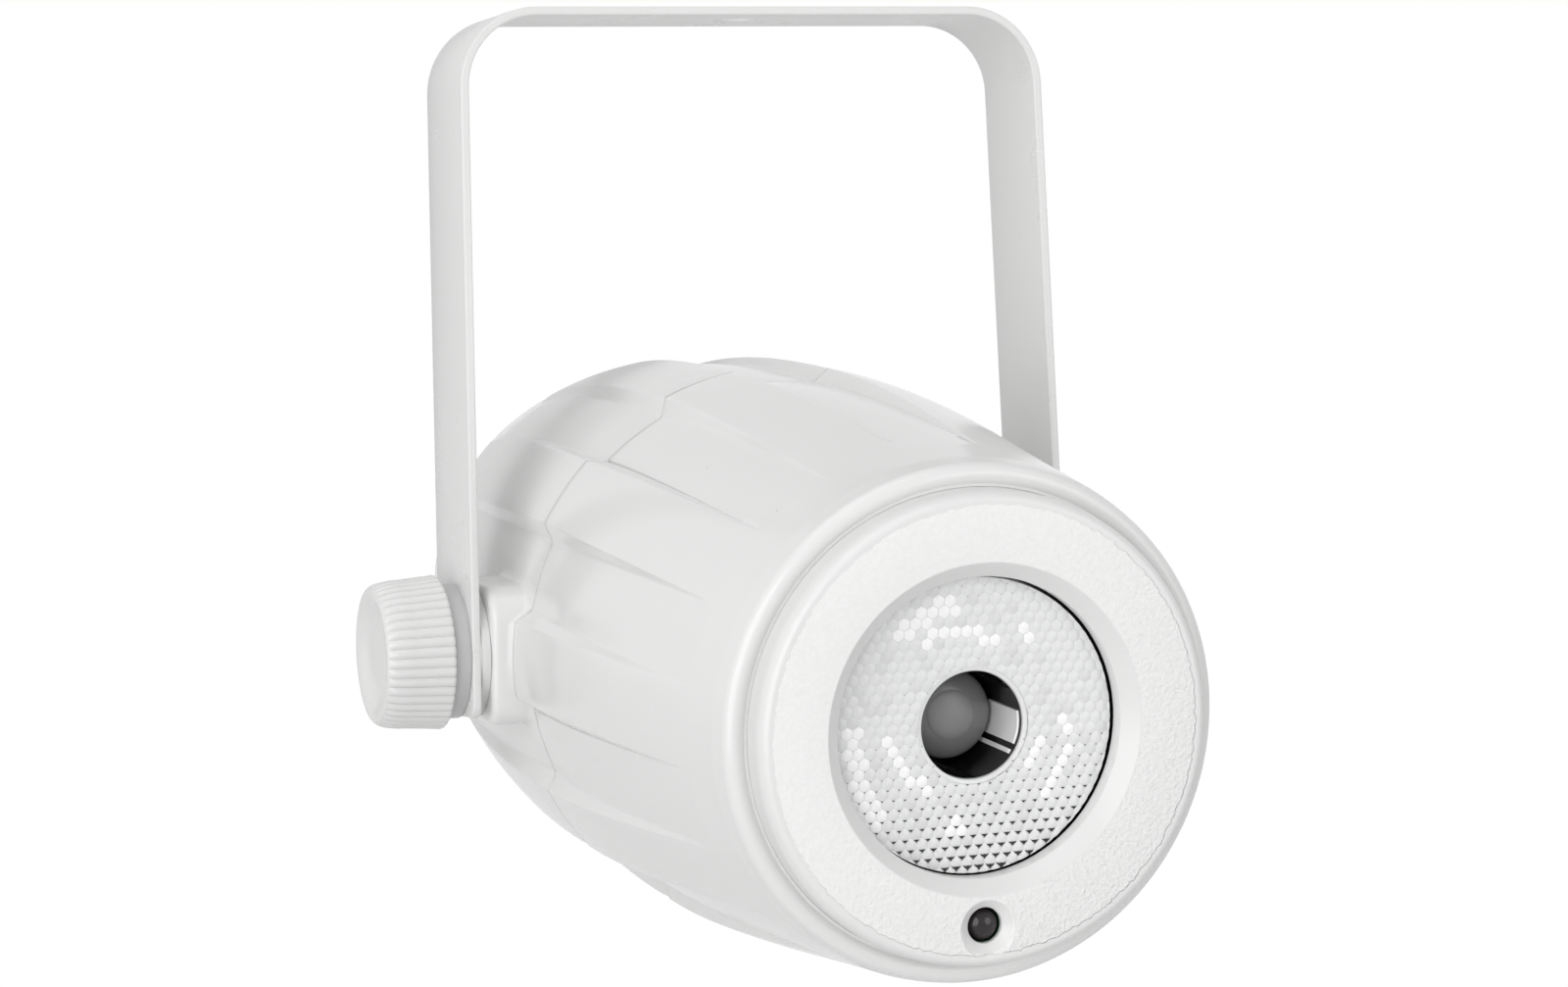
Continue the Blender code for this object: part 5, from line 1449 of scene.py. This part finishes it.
# Studio: pale floor well below the hanging light, even surroundings and soft lamps
studio = {
    "floorZ": -0.45,
    "floorSize": 60,
    "floorTone": 0.68,
    "floorGlow": 1.16,
    "floorShare": 0.8,  # how much of the floor's white shows to the camera
    "floorMirrored": 0.58,  # and in reflections
    "worldLight": 0.51,
    "backdrop": (0.7, 0.9622, 0.9650),  # level in reflections, and how close to straight back it reaches
    "surround": (0.58, 0.9444, 0.9521),  # the dark frame round it
    "surroundRise": (0.017, 0.07),  # the frame starts above the horizon
    "room": 0.95,
    "ceiling": (0.6, 0.3, 0.95),  # level, and how far up it starts and is reached
    "lamps": (
        # name, place from the pivot, size, power, aimed at the pivot
        ("keyLamp", (-0.86, -0.82, 0.12), 1.2, 7.4),
        ("topLamp", (-0.3, -0.4, 1.2), 1.0, 2.9),
        ("fillLamp", (0.7, -1.1, 0.1), 0.8, 2.4),
    ),
}


def seenRays(tree):  # 1 for rays that show the background itself, and 1 for reflections
    rays = placeNode(tree, "ShaderNodeLightPath").outputs
    return maths(tree, "MAXIMUM", rays["Is Camera Ray"], rays["Is Transmission Ray"]), rays["Is Glossy Ray"]


def towards(tree, level, goal, share):  # level, moved towards goal by a share
    return placeNode(tree, "ShaderNodeMix", {"Factor": share, "A": level, "B": goal}).outputs["Result"]


def addWorld():
    world = bpy.data.worlds.new("studio")
    bpy.context.scene.world = world
    world.use_nodes = True
    tree = world.node_tree
    tree.nodes.clear()
    straight, glossy = seenRays(tree)
    way = placeNode(tree, "ShaderNodeTexCoord").outputs["Generated"]
    parts = placeNode(tree, "ShaderNodeSeparateXYZ", {0: way}).outputs
    room = studio["room"]
    level, start, end = studio["ceiling"]
    mirrored = ramp(tree, parts["Z"], start, end, room, level)
    level, start, end = studio["surround"]
    frameShare = maths(
        tree, "MULTIPLY", ramp(tree, parts["Y"], start, end), ramp(tree, parts["Z"], *studio["surroundRise"])
    )
    mirrored = maths(tree, "ADD", mirrored, maths(tree, "MULTIPLY", frameShare, level - room))
    level, start, end = studio["backdrop"]
    mirrored = towards(tree, mirrored, level, ramp(tree, parts["Y"], start, end))
    strength = towards(tree, towards(tree, studio["worldLight"], mirrored, glossy), 1.0, straight)
    glow = placeNode(tree, "ShaderNodeBackground", {"Color": (1, 1, 1, 1), "Strength": strength})
    placeNode(tree, "ShaderNodeOutputWorld", {"Surface": glow.outputs[0]})


def addFloor():
    mesh = bmesh.new()
    bmesh.ops.create_grid(mesh, x_segments=8, y_segments=8, size=studio["floorSize"])
    piece = makeObject("floor", mesh)
    piece.location.z = studio["floorZ"]
    look = bpy.data.materials.new("paleFloor")
    look.use_nodes = True
    tree = look.node_tree
    shader = tree.nodes["Principled BSDF"]
    shader.inputs["Base Color"].default_value = (*[studio["floorTone"]] * 3, 1)
    shader.inputs["Roughness"].default_value = 0.7
    straight, glossy = seenRays(tree)
    mirrored = maths(tree, "MULTIPLY", glossy, studio["floorMirrored"])
    share = maths(tree, "MAXIMUM", maths(tree, "MULTIPLY", straight, studio["floorShare"]), mirrored)
    glow = placeNode(tree, "ShaderNodeEmission", {"Color": (1, 1, 1, 1), "Strength": studio["floorGlow"]})
    whole = placeNode(tree, "ShaderNodeMixShader", {0: share, 1: shader.outputs[0], 2: glow.outputs[0]})
    tree.links.new(whole.outputs[0], tree.nodes["Material Output"].inputs["Surface"])
    piece.data.materials.append(look)


def addLamps():
    for name, place, size, power in studio["lamps"]:
        lamp = bpy.data.lights.new(name, "AREA")
        lamp.shape = "DISK"
        lamp.size = size
        lamp.energy = power
        holder = bpy.data.objects.new(name, lamp)
        bpy.context.scene.collection.objects.link(holder)
        holder.location = pivot + Vector(place)
        holder.rotation_euler = (-Vector(place)).to_track_quat("-Z", "Y").to_euler()
        holder.visible_camera = False


addCamera()
addWorld()
addFloor()
addLamps()
bpy.context.scene.view_settings.view_transform = "Standard"
print("camera and studio set")
